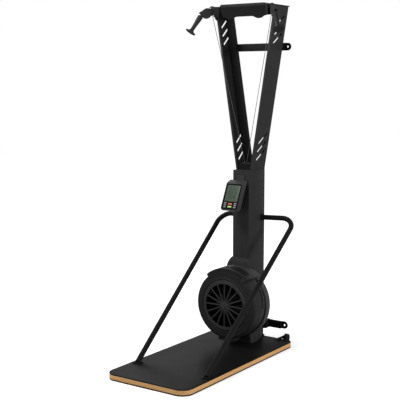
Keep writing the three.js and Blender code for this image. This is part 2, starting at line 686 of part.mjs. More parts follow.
function arcPoints(centreR, centreY, radius, fromAngle, toAngle, steps) {
  return Array.from({ length: steps + 1 }, (_, step) => {
    const angle = fromAngle + (toAngle - fromAngle) * step / steps;
    return [centreR + radius * Math.cos(angle), centreY + radius * Math.sin(angle)];
  });
}

// The part of a turned body between two angles
function sectorOf(body, fromAngle, toAngle) {
  const reach = 2 * HOOD.outer;
  const middle = (fromAngle + toAngle) / 2;
  const corners = [fromAngle, middle, toAngle].map((angle) =>
    [reach * Math.cos(degrees(angle)), reach * Math.sin(degrees(angle))]);
  return body.intersect(extrudeY(polygon([[0, 0], ...corners]), SHELL.ringY - OVERRUN, OVERRUN));
}

// The same, a wall's thickness inside both ends
function sectorInside(body) {
  const inset = degreesOfArc(HOOD.wall, HOOD.outer);
  return sectorOf(body, HOOD.fromAngle + inset, HOOD.toAngle - inset);
}

// The raised air duct on top of the front shell, with the window for the grating
function frontHood() {
  const { outer, wall, round, frontY, fromAngle, toAngle } = HOOD;
  const { shoulder, faceY, splitY } = SHELL;
  const base = shoulder - wall;
  const body = sectorOf(turned([
    [base, splitY], [outer, splitY], [outer, frontY + round], [outer - round, frontY], [shoulder, faceY],
    [base, faceY + FIT],
  ]), fromAngle, toAngle);
  const duct = sectorInside(turned([
    [base, splitY + OVERRUN], [outer - wall, splitY + OVERRUN], [outer - wall, frontY + round],
    [outer - round - wall, frontY + wall], [SHELL.outer - wall, frontY + wall], [base, faceY + 2 * wall],
  ]));
  const reach = SHELL.outer - shoulder - FIT;
  const housing = turned([
    [0, faceY + FIT], ...arcPoints(shoulder, faceY + FIT + reach, reach, -Math.PI / 2, 0, SHELL.roundSteps),
    [SHELL.outer - FIT, splitY + OVERRUN], [0, splitY + OVERRUN],
  ]);
  return cut(body, [duct, housing, hoodWindow(0)]);
}

function hoodWindow(inset) {
  const { outer, windowFromAngle, windowToAngle, windowFrontY, windowRearY } = HOOD;
  const side = degreesOfArc(inset, outer);
  return extrudeY(ringSector(outer - 2 * HOOD.wall, outer + OVERRUN, windowFromAngle + side,
    windowToAngle - side), windowFrontY + inset, windowRearY - inset, SWEPT);
}

function frontShell() {
  const { ringY, frontY, faceY, lip, ring, ringFoot, step, stepFoot, shoulder, outer, splitY, wall } = SHELL;
  const round = outer - shoulder;
  const centreY = faceY + round;
  const outerArc = arcPoints(shoulder, centreY, round, -Math.PI / 2, 0, SHELL.roundSteps);
  const innerArc = arcPoints(shoulder, centreY, round - wall, 0, -Math.PI / 2, SHELL.roundSteps);
  const body = turned([
    [lip, ringY], [ring, ringY], [ringFoot, frontY], [step, frontY], [stepFoot, faceY], ...outerArc,
    [outer, splitY], [outer - wall, splitY], ...innerArc, [lip, faceY + wall],
  ]);
  const chinShape = roundedRectangle(-SHELL.chinHalf, SHELL.chinHalf, -outer - SHELL.chinDrop,
    -outer + SHELL.chinRound, SHELL.chinRound / 2);
  const chin = extrudeY(chinShape, SHELL.chinFrontY, SHELL.chinRearY);
  return join([body, chin.subtract(cylinderY(outer - wall / 2, SHELL.frontY, 0, FINE)), frontHood()]);
}

// The rear half of the air duct, closed at the back
function rearHood() {
  const { outer, wall, round, fromAngle, toAngle } = HOOD;
  const frontEdge = SHELL.splitY + FIT;
  const backY = columnFront - FIT;
  const base = BACK_SHELL.band - BACK_SHELL.wall / 2;
  const body = sectorOf(turned([
    [base, frontEdge], [outer, frontEdge], [outer, backY - round], [outer - round, backY], [base, backY],
  ]), fromAngle, toAngle);
  const duct = sectorInside(turned([
    [base - wall, frontEdge - OVERRUN], [outer - wall, frontEdge - OVERRUN],
    [outer - wall, backY - round - wall], [outer - round - wall, backY - wall], [base - wall, backY - wall],
  ]));
  return body.subtract(duct);
}

function backShell() {
  const { outer, band, frontY, stepY, round, bore, wall } = BACK_SHELL;
  const backY = columnFront - FIT;
  const frontEdge = SHELL.splitY + FIT;
  const ring = turned([
    [bore, backY], [outer - round, backY], [outer, backY - round], [outer, frontY], [outer - round, stepY],
    [band, stepY], [band, frontEdge], [band - wall, frontEdge], [band - wall, stepY + wall],
    [outer - wall, frontY + wall / 2], [outer - wall, backY - round - wall / 2],
    [outer - round - wall / 2, backY - wall], [bore, backY - wall],
  ]);
  const [low, high] = [band - wall - OVERRUN, band + OVERRUN];
  const { leverAngle, travelAngle, slackAngle, middleY, tabDepth } = DAMPER;
  const passage = extrudeY(ringSector(low, high, STRAIGHT_UP - PASSAGE.halfAngle,
    STRAIGHT_UP + PASSAGE.halfAngle), frontEdge + wall, stepY - wall, SWEPT);
  const leverSlot = extrudeY(
    ringSector(low, high, leverAngle - travelAngle - slackAngle, leverAngle + slackAngle),
    middleY - tabDepth / 2 - FIT, middleY + tabDepth / 2 + FIT);
  return cut(ring, [passage, leverSlot]).add(rearHood());
}

// The outlet grating that fills the window in the hood
function outletGrating() {
  const { outer, windowFromAngle, windowToAngle, windowFrontY, windowRearY } = HOOD;
  const inner = outer - OUTLET.thick;
  const [y0, y1] = [windowFrontY + FIT, windowRearY - FIT];
  const side = degreesOfArc(FIT, inner);
  const [from, to] = [windowFromAngle + side, windowToAngle - side];
  const bars = [];
  for (let i = 0; i < OUTLET.rails; i++) {
    const low = y0 + (y1 - y0 - OUTLET.rail) * i / (OUTLET.rails - 1);
    bars.push(extrudeY(ringSector(inner, outer, from, to), low, low + OUTLET.rail, SWEPT));
  }
  const ribHalf = degreesOfArc(OUTLET.rib / 2, outer);
  for (let i = 0; i < OUTLET.ribs; i++) {
    const angle = from + ribHalf + (to - from - 2 * ribHalf) * i / (OUTLET.ribs - 1);
    const rib = ringSector(inner, outer - FIT, angle - ribHalf, angle + ribHalf);
    bars.push(extrudeY(rib, y0 + FIT, y1 - FIT, EDGE));
  }
  return join(bars);
}

function degreesOfArc(length, radius) {
  return THREE.MathUtils.radToDeg(length / radius);
}

// The damper's shutter slides under the passage to the hood; its tab comes out through the slot
function damper() {
  const { inner, outer, fromAngle, toAngle, leverAngle } = DAMPER;
  const { middleY, halfDepth, tab, tabDepth, tabReach } = DAMPER;
  const shutter = extrudeY(ringSector(inner, outer, fromAngle, toAngle), middleY - halfDepth,
    middleY + halfDepth, SWEPT);
  const middle = (inner + outer) / 2;
  const lever = solid(new THREE.BoxGeometry(tabReach, tabDepth, tab)
    .translate(middle + tabReach / 2, middleY, 0).rotateY(-degrees(leverAngle)));
  return shutter.add(lever);
}

function grilleBody() {
  const { rim, rimInner, frontY, rimDepth, spokes, spoke, spokeDepth, hub, hubRise, hubDepth } = GRILLE;
  const parts = [
    turned([[rimInner, frontY], [rim, frontY], [rim, frontY + rimDepth], [rimInner, frontY + rimDepth]]),
    turned([[0, frontY - hubRise], [hub - hubRise, frontY - hubRise], [hub, frontY],
      [hub, frontY + hubDepth], [0, frontY + hubDepth]], ROUND),
  ];
  for (let i = 0; i < spokes; i++) {
    const middle = (hub + rimInner) / 2;
    const bar = new THREE.BoxGeometry(rimInner - hub + spoke, spokeDepth, spoke);
    bar.translate(middle, frontY + spokeDepth / 2 + FIT, 0).rotateY(FULL_TURN * i / spokes);
    parts.push(solid(bar));
  }
  return join(parts);
}

// The impeller: a disc and a front ring joined by swept blades
function impeller() {
  const { outer, disc, backY, frontY, blades, bladeInner, blade, hub, hubFrontY, ringInner, ring } = IMPELLER;
  const parts = [
    turned([[AXLE.radius + FIT, backY], [outer, backY], [outer, backY - disc], [hub, backY - disc],
      [hub, hubFrontY], [AXLE.radius + FIT, hubFrontY]]),
    turned([[ringInner, frontY], [outer, frontY], [outer, frontY + ring], [ringInner, frontY + ring]]),
  ];
  const rim = outer - ring / 2;
  const tip = new THREE.Vector2(rim, 0).rotateAround(new THREE.Vector2(), degrees(IMPELLER.sweepAngle));
  const along = new THREE.Vector2(tip.x - bladeInner, tip.y);
  for (let i = 0; i < blades; i++) {
    const box = new THREE.BoxGeometry(along.length(), backY - disc - frontY, blade);
    box.translate(along.length() / 2, (frontY + backY - disc) / 2, 0).rotateY(-along.angle());
    box.translate(bladeInner, 0, 0).rotateY(FULL_TURN * i / blades);
    parts.push(solid(box));
  }
  return join(parts).intersect(cylinderY(outer, hubFrontY - OVERRUN, backY + OVERRUN, FINE));
}

function axle() {
  const nutFront = IMPELLER.hubFrontY - FIT;
  const nutRear = CARRIER.rearY + CARRIER.bearingDepth + FIT;
  return join([
    cylinderY(AXLE.radius, AXLE.frontY, nutRear + AXLE.nutThick + AXLE.radius / 2),
    cylinderY(AXLE.nut, nutFront - AXLE.nutThick, nutFront, 6),
    cylinderY(AXLE.nut, nutRear, nutRear + AXLE.nutThick, 6),
  ]);
}

// A plate across the inside of the column, with a bearing for the axle
function carrier(plateY, bearingY) {
  const { height, thick, bearing, bearingDepth } = CARRIER;
  const half = COLUMN.width / 2 - COLUMN.wall - FIT;
  const plate = block(-half, half, plateY, plateY + thick, -height / 2, height / 2);
  const ring = cylinderY(bearing, bearingY, bearingY + bearingDepth);
  const bore = cylinderY(AXLE.radius + RUNNING, plateY - bearingDepth, plateY + 2 * bearingDepth);
  return plate.add(ring).subtract(bore);
}

function drumBody() {
  const { radius, flange, flangeThick, width } = DRUM;
  const half = width / 2;
  const bore = AXLE.radius + RUNNING;
  return turned([
    [bore, -half], [flange, -half], [flange, flangeThick - half], [radius, flangeThick - half],
    [radius, half - flangeThick], [flange, half - flangeThick], [flange, half], [bore, half],
  ], ROUND);
}

piece(fan, "fan_front_shell", frontShell(), plasticBlack());
piece(fan, "fan_back_shell", backShell(), plasticGrey());
piece(fan, "fan_outlet_grating", outletGrating(), plasticBlack());
piece(fan, "damper_shutter", damper(), plasticGrey());
piece(fan, "fan_grille", grilleBody(), plasticGrey());
piece(fan, "fan_impeller", impeller(), plasticBlack());
piece(fan, "fan_axle", axle(), bareSteel());
piece(fan, "front_axle_bearing", carrier(columnFront + COLUMN.wall + FIT, columnFront), bareSteel());
piece(fan, "rear_axle_bearing", carrier(CARRIER.rearY, CARRIER.rearY), bareSteel());
piece(fan, "left_cord_drum", drumBody(), plasticGrey()).position.y = DRUM.leftY;
piece(fan, "right_cord_drum", drumBody(), plasticGrey()).position.y = DRUM.rightY;

// Neck cover: a flared hood on the front of the column, over the top of the fan housing
function neckLevel(rise, side, proud) {
  const half = COLUMN.width / 2 + side;
  const [front, rear] = [columnFront - proud, columnFront + NECK.cheek];
  return { z: fanZ + rise, outline: [[-half, rear], [-half, front], [half, front], [half, rear]] };
}

function neckCover() {
  const { bottomRise, middleRise, upperRise, topRise } = NECK;
  const hood = loft([
    neckLevel(bottomRise, NECK.bottomSide, NECK.bottomProud),
    neckLevel(middleRise, NECK.middleSide, NECK.middleProud),
    neckLevel(upperRise, NECK.upperSide, NECK.upperProud),
    neckLevel(topRise, NECK.topSide, NECK.topProud),
  ]);
  const halfX = COLUMN.width / 2 + FIT;
  const columnGap = block(-halfX, halfX, columnFront - FIT, columnRear, fanZ, fanZ + topRise + OVERRUN);
  const fanGap = cylinderY(HOOD.outer + FIT, SHELL.frontY, columnFront - FIT / 2, FINE, 0, fanZ);
  return cut(hood, [columnGap, fanGap]);
}

piece(trainer, "neck_cover", neckCover(), plasticGrey());

// Guide pulleys on the column's top, between two ears with a pin for each
function guideBracket() {
  const { x, plate, half, ear, earGap, earHeight, pin, mouth } = GUIDE;
  const z0 = armBottom;
  const outer = earGap + ear;
  const parts = [block(-half, half, CORD.guideY - outer, CORD.guideY + outer, z0, z0 + plate)];
  for (const end of [-1, 1]) {
    const near = CORD.guideY + end * earGap;
    const far = CORD.guideY + end * outer;
    parts.push(block(-half, half, Math.min(near, far), Math.max(near, far), z0, z0 + earHeight));
  }
  const hole = block(-mouth, mouth, CORD.guideY - earGap, CORD.guideY + earGap,
    z0 - OVERRUN, z0 + plate + FIT);
  const pins = SIDES.map(([, side]) =>
    cylinderY(pin, CORD.guideY - outer - ear, CORD.guideY + outer + ear, ROUND, side * x, guideZ));
  return join([cut(join(parts), [hole]), ...pins]);
}

function grooved(groove, flange, width, bore) {
  const half = width / 2;
  const lip = (width - 3 * CORD.radius) / 2;
  const floor = CORD.radius / 2;
  return turned([
    [bore, -half], [flange, -half], [flange, lip - half], [groove, -floor], [groove, floor],
    [flange, half - lip], [flange, half], [bore, half],
  ], ROUND);
}

piece(trainer, "guide_bracket", guideBracket(), steelDark());
for (const [word, side] of SIDES) {
  const body = grooved(GUIDE.groove, GUIDE.flange, GUIDE.width, GUIDE.pin + RUNNING);
  const pulley = piece(trainer, `${word}_guide_pulley`, body, plasticGrey());
  pulley.position.set(side * GUIDE.x, CORD.guideY, guideZ);
}

// Cords: from the pod's swivel axis past the guide pulley and down inside the column to a drum
function cordPath(side) {
  const offset = GUIDE.groove + CORD.radius + FIT;
  const wrapX = side * (GUIDE.x - offset);
  const drumY = side > 0 ? DRUM.rightY : DRUM.leftY;
  const lean = Math.atan2(podX - GUIDE.x + offset, podPulleyZ - guideZ);
  const meetX = side * (GUIDE.x - offset * Math.cos(lean));
  const meet = vector(meetX, CORD.guideY, guideZ + offset * Math.sin(lean));
  return new BentPath([
    vector(side * podX, POD.y, podPulleyZ), meet, vector(wrapX, CORD.guideY, guideZ - CORD.radius),
    vector(DRUM.radius + CORD.radius + FIT, drumY, fanZ + CORD.radius),
  ], CORD.radius, 1);
}

for (const [word, side] of SIDES) {
  piece(trainer, `${word}_cord`, tube(cordPath(side), CORD.radius, CORD_SIDES), cordBlack());
}

// Pods: swivelling pulley housings under the front corners of the head
function podOutline() {
  const { tailS, tailDrop, crownS, noseS, noseDrop, lobe, lobeTailAngle, lobeHeelAngle } = POD;
  const shape = new THREE.Shape();
  shape.moveTo(tailS, podTop - tailDrop);
  shape.lineTo(POD_PULLEY.s + lobe * Math.cos(degrees(lobeTailAngle)),
    podPulleyZ - lobe * Math.sin(degrees(lobeTailAngle)));
  shape.absarc(POD_PULLEY.s, podPulleyZ, lobe, -degrees(lobeTailAngle), -degrees(lobeHeelAngle));
  shape.lineTo(noseS, podTop - noseDrop);
  shape.lineTo(crownS, podTop);
  shape.lineTo(tailS, podTop);
  return shape;
}

function podBody() {
  const { thick, cavity, wall, tailS, crownS, noseS, noseDrop, lobe } = POD;
  const low = podPulleyZ - 2 * lobe;
  const hollow = polygon([
    [tailS + wall, low], [noseS, low], [noseS - wall / 2, podTop - noseDrop - wall],
    [crownS - wall / 2, podTop - wall], [tailS + wall, podTop - wall],
  ]);
  const { s, pin, head, headThick } = POD_PULLEY;
  const half = thick / 2;
  const parts = [extrudeY(podOutline(), -half, half).subtract(extrudeY(hollow, -cavity / 2, cavity / 2))];
  parts.push(cylinderY(pin, -half, half, ROUND, s, podPulleyZ));
  for (const end of [-1, 1]) {
    const near = end * (half - FIT);
    const far = end * (half + headThick);
    parts.push(cylinderY(head, Math.min(near, far), Math.max(near, far), ROUND, s, podPulleyZ));
  }
  return join(parts);
}

function swivelPin() {
  const shank = cylinderZ(SWIVEL.pin, podTop + FIT, headPlateZ + HEAD.plate + SWIVEL.headThick);
  const headZ = headPlateZ + HEAD.plate + FIT;
  return shank.add(cylinderZ(SWIVEL.head, headZ, headZ + SWIVEL.headThick));
}

// A handle's own axis runs from its seat in the pod's mouth out to its flared end
function handleProfile() {
  const { start, length, top, waist, neck, flare, rim, flareLength, dish } = HANDLE;
  const end = start + length;
  const flareStart = end - flareLength;
  const middle = (start + flareStart) / 2;
  return [
    [0, start], [top - rim, start], [top, start + rim], [waist, middle], [neck, flareStart],
    [neck + rim, flareStart + flareLength / 2], [(neck + flare) / 2, end - 2 * rim], [flare, end - rim],
    [flare, end - rim / 2], [flare - rim, end], [flare / 2, end - dish / 2], [0, end - dish / 2],
  ];
}

function ferruleProfile() {
  const { start, tip, radius, shoulder, end, tail } = FERRULE;
  return [
    [0, -tail], [CORD.radius, -tail], [CORD.radius, start], [tip, start], [radius, start + shoulder],
    [radius, end], [0, end],
  ];
}

function alongHandle(profile, segments) {
  const points = profile.map(([radius, t]) => new THREE.Vector2(radius, t));
  return solid(new THREE.LatheGeometry(points, segments).rotateX(Math.PI / 2));
}

for (const [word, side] of SIDES) {
  const pod = new THREE.Group();
  pod.position.set(side * podX, POD.y, 0);
  pod.rotation.z = side > 0 ? -degrees(POD.rightYawAngle) : degrees(POD.leftYawAngle) - Math.PI;
  trainer.add(pod);
  piece(pod, `${word}_pod`, podBody(), steelBlack());
  piece(pod, `${word}_pod_pin`, swivelPin(), bareSteel());
  const pulley = grooved(POD_PULLEY.groove, POD_PULLEY.flange, POD_PULLEY.width, POD_PULLEY.pin + RUNNING);
  piece(pod, `${word}_pod_pulley`, pulley, plasticGrey()).position.set(POD_PULLEY.s, 0, podPulleyZ);
  const handle = new THREE.Group();
  handle.position.set(HANDLE.seatS, 0, podTop - HANDLE.seatDrop);
  handle.rotation.y = Math.PI / 2 + degrees(HANDLE.dropAngle);
  pod.add(handle);
  piece(handle, `${word}_handle`, alongHandle(handleProfile(), ROUND), plasticGrey());
  piece(handle, `${word}_handle_ferrule`, alongHandle(ferruleProfile(), SMALL), bareSteel());
}

// Console: its face is the plane Y = 0 of its own leaning group, its back towards +Y
const consoleGroup = new THREE.Group();
consoleGroup.position.set(0, CONSOLE.faceY, consoleZ);
consoleGroup.rotation.x = -degrees(CONSOLE.leanAngle);
trainer.add(consoleGroup);

function consoleBody() {
  const { half, faceHalf, deep, hoodTop, hoodBack, hoodFront, chin, chinBack, edge } = CONSOLE;
  const side = polygon([
    [0, edge - faceHalf], [edge / 2, -chin], [deep - edge, -chin + edge], [deep, -chinBack], [deep, hoodBack],
    [deep - edge / 2, hoodTop], [edge, hoodFront], [0, faceHalf],
  ]);
  const front = roundedRectangle(-half, half, -chin, hoodTop, 2 * edge, edge);
  let body = extrudeX(side, -half, half).intersect(extrudeY(front, -OVERRUN, deep + OVERRUN));
  const lug = polygon([
    [deep - edge, CONSOLE.hingeU + CONSOLE.knuckle], [deep - edge, CONSOLE.hingeU - CONSOLE.knuckle],
    [CONSOLE.hingeN, CONSOLE.hingeU - CONSOLE.knuckle], [CONSOLE.hingeN, CONSOLE.hingeU + CONSOLE.knuckle],
  ]);
  const { knuckle, knuckleHalf, hingeN, hingeU, pin } = CONSOLE;
  body = join([body, extrudeX(lug, -knuckleHalf, knuckleHalf),
    cylinderX(knuckle, -knuckleHalf, knuckleHalf, ROUND, hingeN, hingeU)]);
  const bore = cylinderX(pin + RUNNING, -half, half, ROUND, hingeN, hingeU);
  const boreOnly = bore.intersect(block(-knuckleHalf - FIT, knuckleHalf + FIT, 0, 2 * deep, 0, hoodTop));
  const { half: screenHalf, top, bottom, corner } = SCREEN;
  const recess = extrudeY(roundedRectangle(-screenHalf, screenHalf, bottom, top, corner),
    -OVERRUN, SCREEN.recess, EDGE);
  const pockets = keyPlaces().map(({ x, u, wide, tall }) => extrudeY(
    roundedRectangle(x - wide / 2 - KEYS.gap, x + wide / 2 + KEYS.gap, u - tall / 2 - KEYS.gap,
      u + tall / 2 + KEYS.gap, KEYS.corner), -OVERRUN, KEYS.pocket, EDGE));
  return cut(body, [boreOnly, recess, ...pockets]);
}

function keyPlaces() {
  const places = [
    { name: "stop_key", x: 0, u: KEYS.redU, wide: KEYS.wide, tall: KEYS.tall, material: keyRed() },
    { name: "start_key", x: 0, u: KEYS.greenU, wide: KEYS.wide, tall: KEYS.tall, material: keyGreen() },
  ];
  for (const [word, side] of SIDES) {
    for (let row = 0; row < 3; row++) {
      places.push({
        name: `${word}_key_${row + 1}`, x: side * KEYS.sideX, u: KEYS.firstU - row * KEYS.pitch,
        wide: KEYS.small, tall: KEYS.smallTall, material: keyGrey(),
      });
    }
  }
  return places;
}

function keyBody(wide, tall) {
  const cap = roundedRectangle(-wide / 2, wide / 2, -tall / 2, tall / 2, KEYS.corner - KEYS.gap);
  return extrudeY(cap, -KEYS.proud, KEYS.seat, EDGE);
}

function screenBody() {
  const glass = roundedRectangle(FIT - SCREEN.half, SCREEN.half - FIT, SCREEN.bottom + FIT, SCREEN.top - FIT,
    SCREEN.corner);
  return extrudeY(glass, SCREEN.recess - FIT - SCREEN.thick, SCREEN.recess - FIT, EDGE);
}

piece(consoleGroup, "console_body", consoleBody(), plasticGrey());
piece(consoleGroup, "console_screen", screenBody(), glassGreen());
for (const { name, x, u, wide, tall, material } of keyPlaces()) {
  piece(consoleGroup, name, keyBody(wide, tall), material).position.set(x, 0, u);
}

// The hinge axis in the trainer's own frame, and the bracket that carries it
const lean = degrees(CONSOLE.leanAngle);
const hingeY = CONSOLE.faceY + CONSOLE.hingeN * Math.cos(lean) + CONSOLE.hingeU * Math.sin(lean);
const hingeZ = consoleZ - CONSOLE.hingeN * Math.sin(lean) + CONSOLE.hingeU * Math.cos(lean);

function consoleBracket() {
  const { half, topDrop, bottomDrop, plate, ear } = CONSOLE_BRACKET;
  const plateY = columnFront - FIT;
  const parts = [block(-half, half, plateY - plate, plateY, columnTop - bottomDrop, columnTop - topDrop)];
  const gap = CONSOLE.knuckleHalf + FIT;
  const shape = new THREE.Shape();
  shape.moveTo(plateY - plate / 2, hingeZ - 2 * CONSOLE.knuckle);
  shape.lineTo(plateY - plate / 2, hingeZ + 2 * CONSOLE.knuckle);
  shape.lineTo(hingeY, hingeZ + CONSOLE.knuckle);
  shape.absarc(hingeY, hingeZ, CONSOLE.knuckle, Math.PI / 2, 1.5 * Math.PI);
  for (const [, side] of SIDES) parts.push(handed(extrudeX(shape, gap, gap + ear), side));
  parts.push(cylinderX(CONSOLE.pin, -gap - ear - plate / 2, gap + ear + plate / 2, ROUND, hingeY, hingeZ));
  return join(parts);
}

piece(trainer, "console_bracket", consoleBracket(), plasticGrey());

// Transport wheels behind the platform, each on a stub axle in its own bracket
function wheelBody() {
  const { radius, width, tread, bore, hub, hubProud } = WHEEL;
  const half = width / 2;
  return turned([
    [bore + RUNNING, -half], [hub, -half], [hub + hubProud, hubProud - half],
    [radius - 2 * tread, hubProud - half], [radius - tread, -half], [radius, tread - half],
    [radius, half - tread], [radius - tread, half], [radius - 2 * tread, half - hubProud],
    [hub + hubProud, half - hubProud], [hub, half], [bore + RUNNING, half],
  ], ROUND);
}

function wheelBracket() {
  const { y, z, width, bore, ear, boss, baseFrontY, base, cap, capThick } = WHEEL;
  const earX = PLATFORM.width / 2 - WHEEL.earInset;
  const baseX = PLATFORM.width / 2 - WHEEL.baseInset;
  const shape = new THREE.Shape();
  shape.moveTo(baseFrontY, platformTop);
  shape.lineTo(y - boss, platformTop);
  shape.absarc(y, z, boss, Math.PI, Math.PI / 2);
  shape.lineTo(baseFrontY + boss, z + boss);
  const endX = wheelX + width / 2 + FIT;
  return join([
    extrudeX(shape, earX, earX + ear),
    block(baseX, earX + ear / 2, baseFrontY, PLATFORM.rearY, platformTop, platformTop + base),
    cylinderX(bore, earX + ear / 2, endX + capThick / 2, ROUND, y, z),
    cylinderX(cap, endX, endX + capThick, ROUND, y, z),
  ]);
}

for (const [word, side] of SIDES) {
  const wheel = piece(trainer, `${word}_wheel`, wheelBody(), rubberBlack());
  wheel.position.set(side * wheelX, WHEEL.y, WHEEL.z);
  wheel.rotation.z = Math.PI / 2;
  piece(trainer, `${word}_wheel_bracket`, handed(wheelBracket(), side), steelDark());
}

export default trainer;
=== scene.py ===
"""The dressed scene of a standing ski trainer: platform, column, spreading arms, air fan, pull handles,
hand rails and console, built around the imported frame. Everything is in metres, in the frame's own axes."""

import math

import bmesh
import bpy
import numpy as np
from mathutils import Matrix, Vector


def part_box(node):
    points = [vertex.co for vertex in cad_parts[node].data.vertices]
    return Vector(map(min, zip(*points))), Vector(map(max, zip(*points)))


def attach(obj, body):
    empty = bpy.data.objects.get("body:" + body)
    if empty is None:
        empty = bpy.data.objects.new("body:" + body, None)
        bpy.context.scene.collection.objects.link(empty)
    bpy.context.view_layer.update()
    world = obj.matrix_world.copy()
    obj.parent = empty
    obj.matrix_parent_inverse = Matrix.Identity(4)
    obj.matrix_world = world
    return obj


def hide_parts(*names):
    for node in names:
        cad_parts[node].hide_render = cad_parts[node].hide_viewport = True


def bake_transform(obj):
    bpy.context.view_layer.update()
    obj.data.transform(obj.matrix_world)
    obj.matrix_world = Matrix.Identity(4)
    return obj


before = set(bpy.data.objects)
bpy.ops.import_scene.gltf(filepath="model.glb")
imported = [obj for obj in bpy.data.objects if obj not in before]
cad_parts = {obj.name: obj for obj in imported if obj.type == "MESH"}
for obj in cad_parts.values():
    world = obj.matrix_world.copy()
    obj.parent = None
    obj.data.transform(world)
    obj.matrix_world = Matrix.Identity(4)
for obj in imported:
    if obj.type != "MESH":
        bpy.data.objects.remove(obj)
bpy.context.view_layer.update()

bl_info = {
    "name": "Ski Trainer Dresser",
    "version": (1, 0, 0),
    "blender": (4, 5, 0),
    "location": "View3D > Sidebar > Ski Trainer",
    "description": "Builds the fine surfaces and finishes of a standing ski trainer around its frame",
    "category": "Add Mesh",
}

SIDES = (("left", -1), ("right", 1))
X_AXIS, Y_AXIS, Z_AXIS = np.eye(3)

# Planes of the fan's housing along Y, from the face to the rear, and the thickness of its walls
FAN_FACE, FAN_SPLIT, FAN_SEAM, FAN_REAR = -0.2868, -0.190, -0.1897, -0.1018
FAN_WALL = 0.004


# Settings a user would change

def length(name, description, default):
    return bpy.props.FloatProperty(name=name, description=description, default=default, unit="LENGTH")


def angle(name, description, degrees):
    return bpy.props.FloatProperty(name=name, description=description,
                                   default=math.radians(degrees), subtype="ANGLE")


def count(name, description, default):
    return bpy.props.IntProperty(name=name, description=description, default=default, min=1)


def share(name, description, default):
    return bpy.props.FloatProperty(name=name, description=description, default=default,
                                   min=0, max=1, subtype="FACTOR")


def colour(name, description, default):
    return bpy.props.FloatVectorProperty(name=name, description=description, default=default,
                                         size=3, min=0, max=1, subtype="COLOR")


class FinishSettings(bpy.types.PropertyGroup):
    coat: colour("Powder coat", "Colour of the column, arms and rails", (0.0215, 0.0215, 0.0222))
    # Dark coat: the powder coat darkened, used as painted shade on parts behind and under others.
    coat_dark: colour("Dark coat", "Colour of the wall bars and hidden plates", (0.0065, 0.0065, 0.0067))
    plastic: colour("Black plastic", "Colour of the head and front shell", (0.0145, 0.0145, 0.015))
    plastic_grey: colour("Grey plastic", "Colour of the back shell and console", (0.030, 0.030, 0.031))
    rubber: colour("Rubber", "Colour of mat, underlay and tyres", (0.009, 0.009, 0.009))
    ply_light: colour("Light ply", "Pale layers of the board's edge", (0.66, 0.37, 0.135))
    ply_dark: colour("Dark ply", "Dark layers of the board's edge", (0.47, 0.235, 0.075))
    steel: colour("Plated steel", "Colour of pins, bolts and bearings", (0.42, 0.42, 0.44))
    cord: colour("Cord", "Colour of the braided cord", (0.045, 0.045, 0.047))
    screen: colour("Screen", "Colour of the liquid crystal panel", (0.040, 0.060, 0.038))
    key_red: colour("Stop key", "Colour of the stop key", (0.42, 0.045, 0.035))
    key_green: colour("Start key", "Colour of the start key", (0.32, 0.48, 0.1))
    key_grey: colour("Small keys", "Colour of the six small keys", (0.15, 0.15, 0.16))


class PlatformSettings(bpy.types.PropertyGroup):
    front_corner: length("Front corner", "Corner radius at the user's end", 0.072)
    rear_corner: length("Rear corner", "Corner radius behind the column", 0.050)
    edge: length("Edge rounding", "Rounding of the mat's and board's edges", 0.0012)


class RailSettings(bpy.types.PropertyGroup):
    radius: length("Tube radius", "Half the tube's diameter", 0.017)
    bend: length("Bend radius", "Radius of the bend at the top", 0.076)
    foot_x: length("Foot X", "Distance of the foot from the middle", 0.260)
    foot_y: length("Foot Y", "Place of the foot along the platform", -0.881)
    corner_x: length("Corner X", "Distance of the bend from the middle", 0.292)
    corner_y: length("Corner Y", "Place of the bend along the platform", 0.127)
    corner_z: length("Corner Z", "Height of the bend", 0.868)
    end_y: length("End Y", "Where the tube's line crosses the column's middle", 0.046)


class FanSettings(bpy.types.PropertyGroup):
    axis_z: length("Axis height", "Height of the fan's axis", 0.320)
    outer: length("Housing radius", "Radius of the front shell", 0.228)
    back: length("Back radius", "Radius of the back shell", 0.235)
    band: length("Band radius", "Radius of the band between the two shells", 0.220)
    lip: length("Opening radius", "Radius of the round opening", 0.150)
    rim: length("Grille rim", "Inner radius of the grille's rim", 0.143)
    hub: length("Grille hub", "Radius of the grille's hub", 0.022)
    spokes: count("Spokes", "Number of spokes in the grille", 16)
    spoke: length("Spoke width", "Width of a spoke at its root", 0.0092)
    blades: count("Blades", "Number of blades on the impeller", 20)
    sweep: angle("Blade sweep", "Angle that a blade leans from root to tip", 20)
    hood: length("Hood radius", "Outer radius of the air duct on top", 0.246)
    hood_start: angle("Hood start", "Where the duct starts on the right", 49.5)
    hood_end: angle("Hood end", "Where the duct ends on the left", 128.5)
    window_start: angle("Window start", "Where the duct's window starts", 57)
    window_end: angle("Window end", "Where the duct's window ends", 122.5)
    ribs: count("Outlet ribs", "Number of ribs across the window", 33)
    hoops: count("Outlet hoops", "Number of hoops along the window", 8)
    slope_ribs: count("Slope ribs", "Number of ribs on the duct's front slope", 31)
    slope_hoops: count("Slope hoops", "Number of hoops on the duct's front slope", 3)


class PullSettings(bpy.types.PropertyGroup):
    pivot_x: length("Pivot X", "Distance of the swivel axis from the middle", 0.228)
    pivot_y: length("Pivot Y", "Place of the swivel axis", -0.108)
    left_yaw: angle("Left yaw", "Angle that the left pod points forwards from -X", 53)
    right_yaw: angle("Right yaw", "Angle that the right pod points forwards from +X", 43)
    seat_s: length("Seat distance", "Distance of the handle's seat from the pivot", 0.074)
    seat_z: length("Seat height", "Height of the handle's seat", 2.208)
    cord: length("Cord radius", "Half the cord's diameter", 0.0018)


class ConsoleSettings(bpy.types.PropertyGroup):
    face_y: length("Face Y", "Place of the middle of the console's face", -0.212)
    face_z: length("Face Z", "Height of the middle of the console's face", 1.032)
    lean: angle("Lean", "Angle that the face leans back from upright", 24.7)


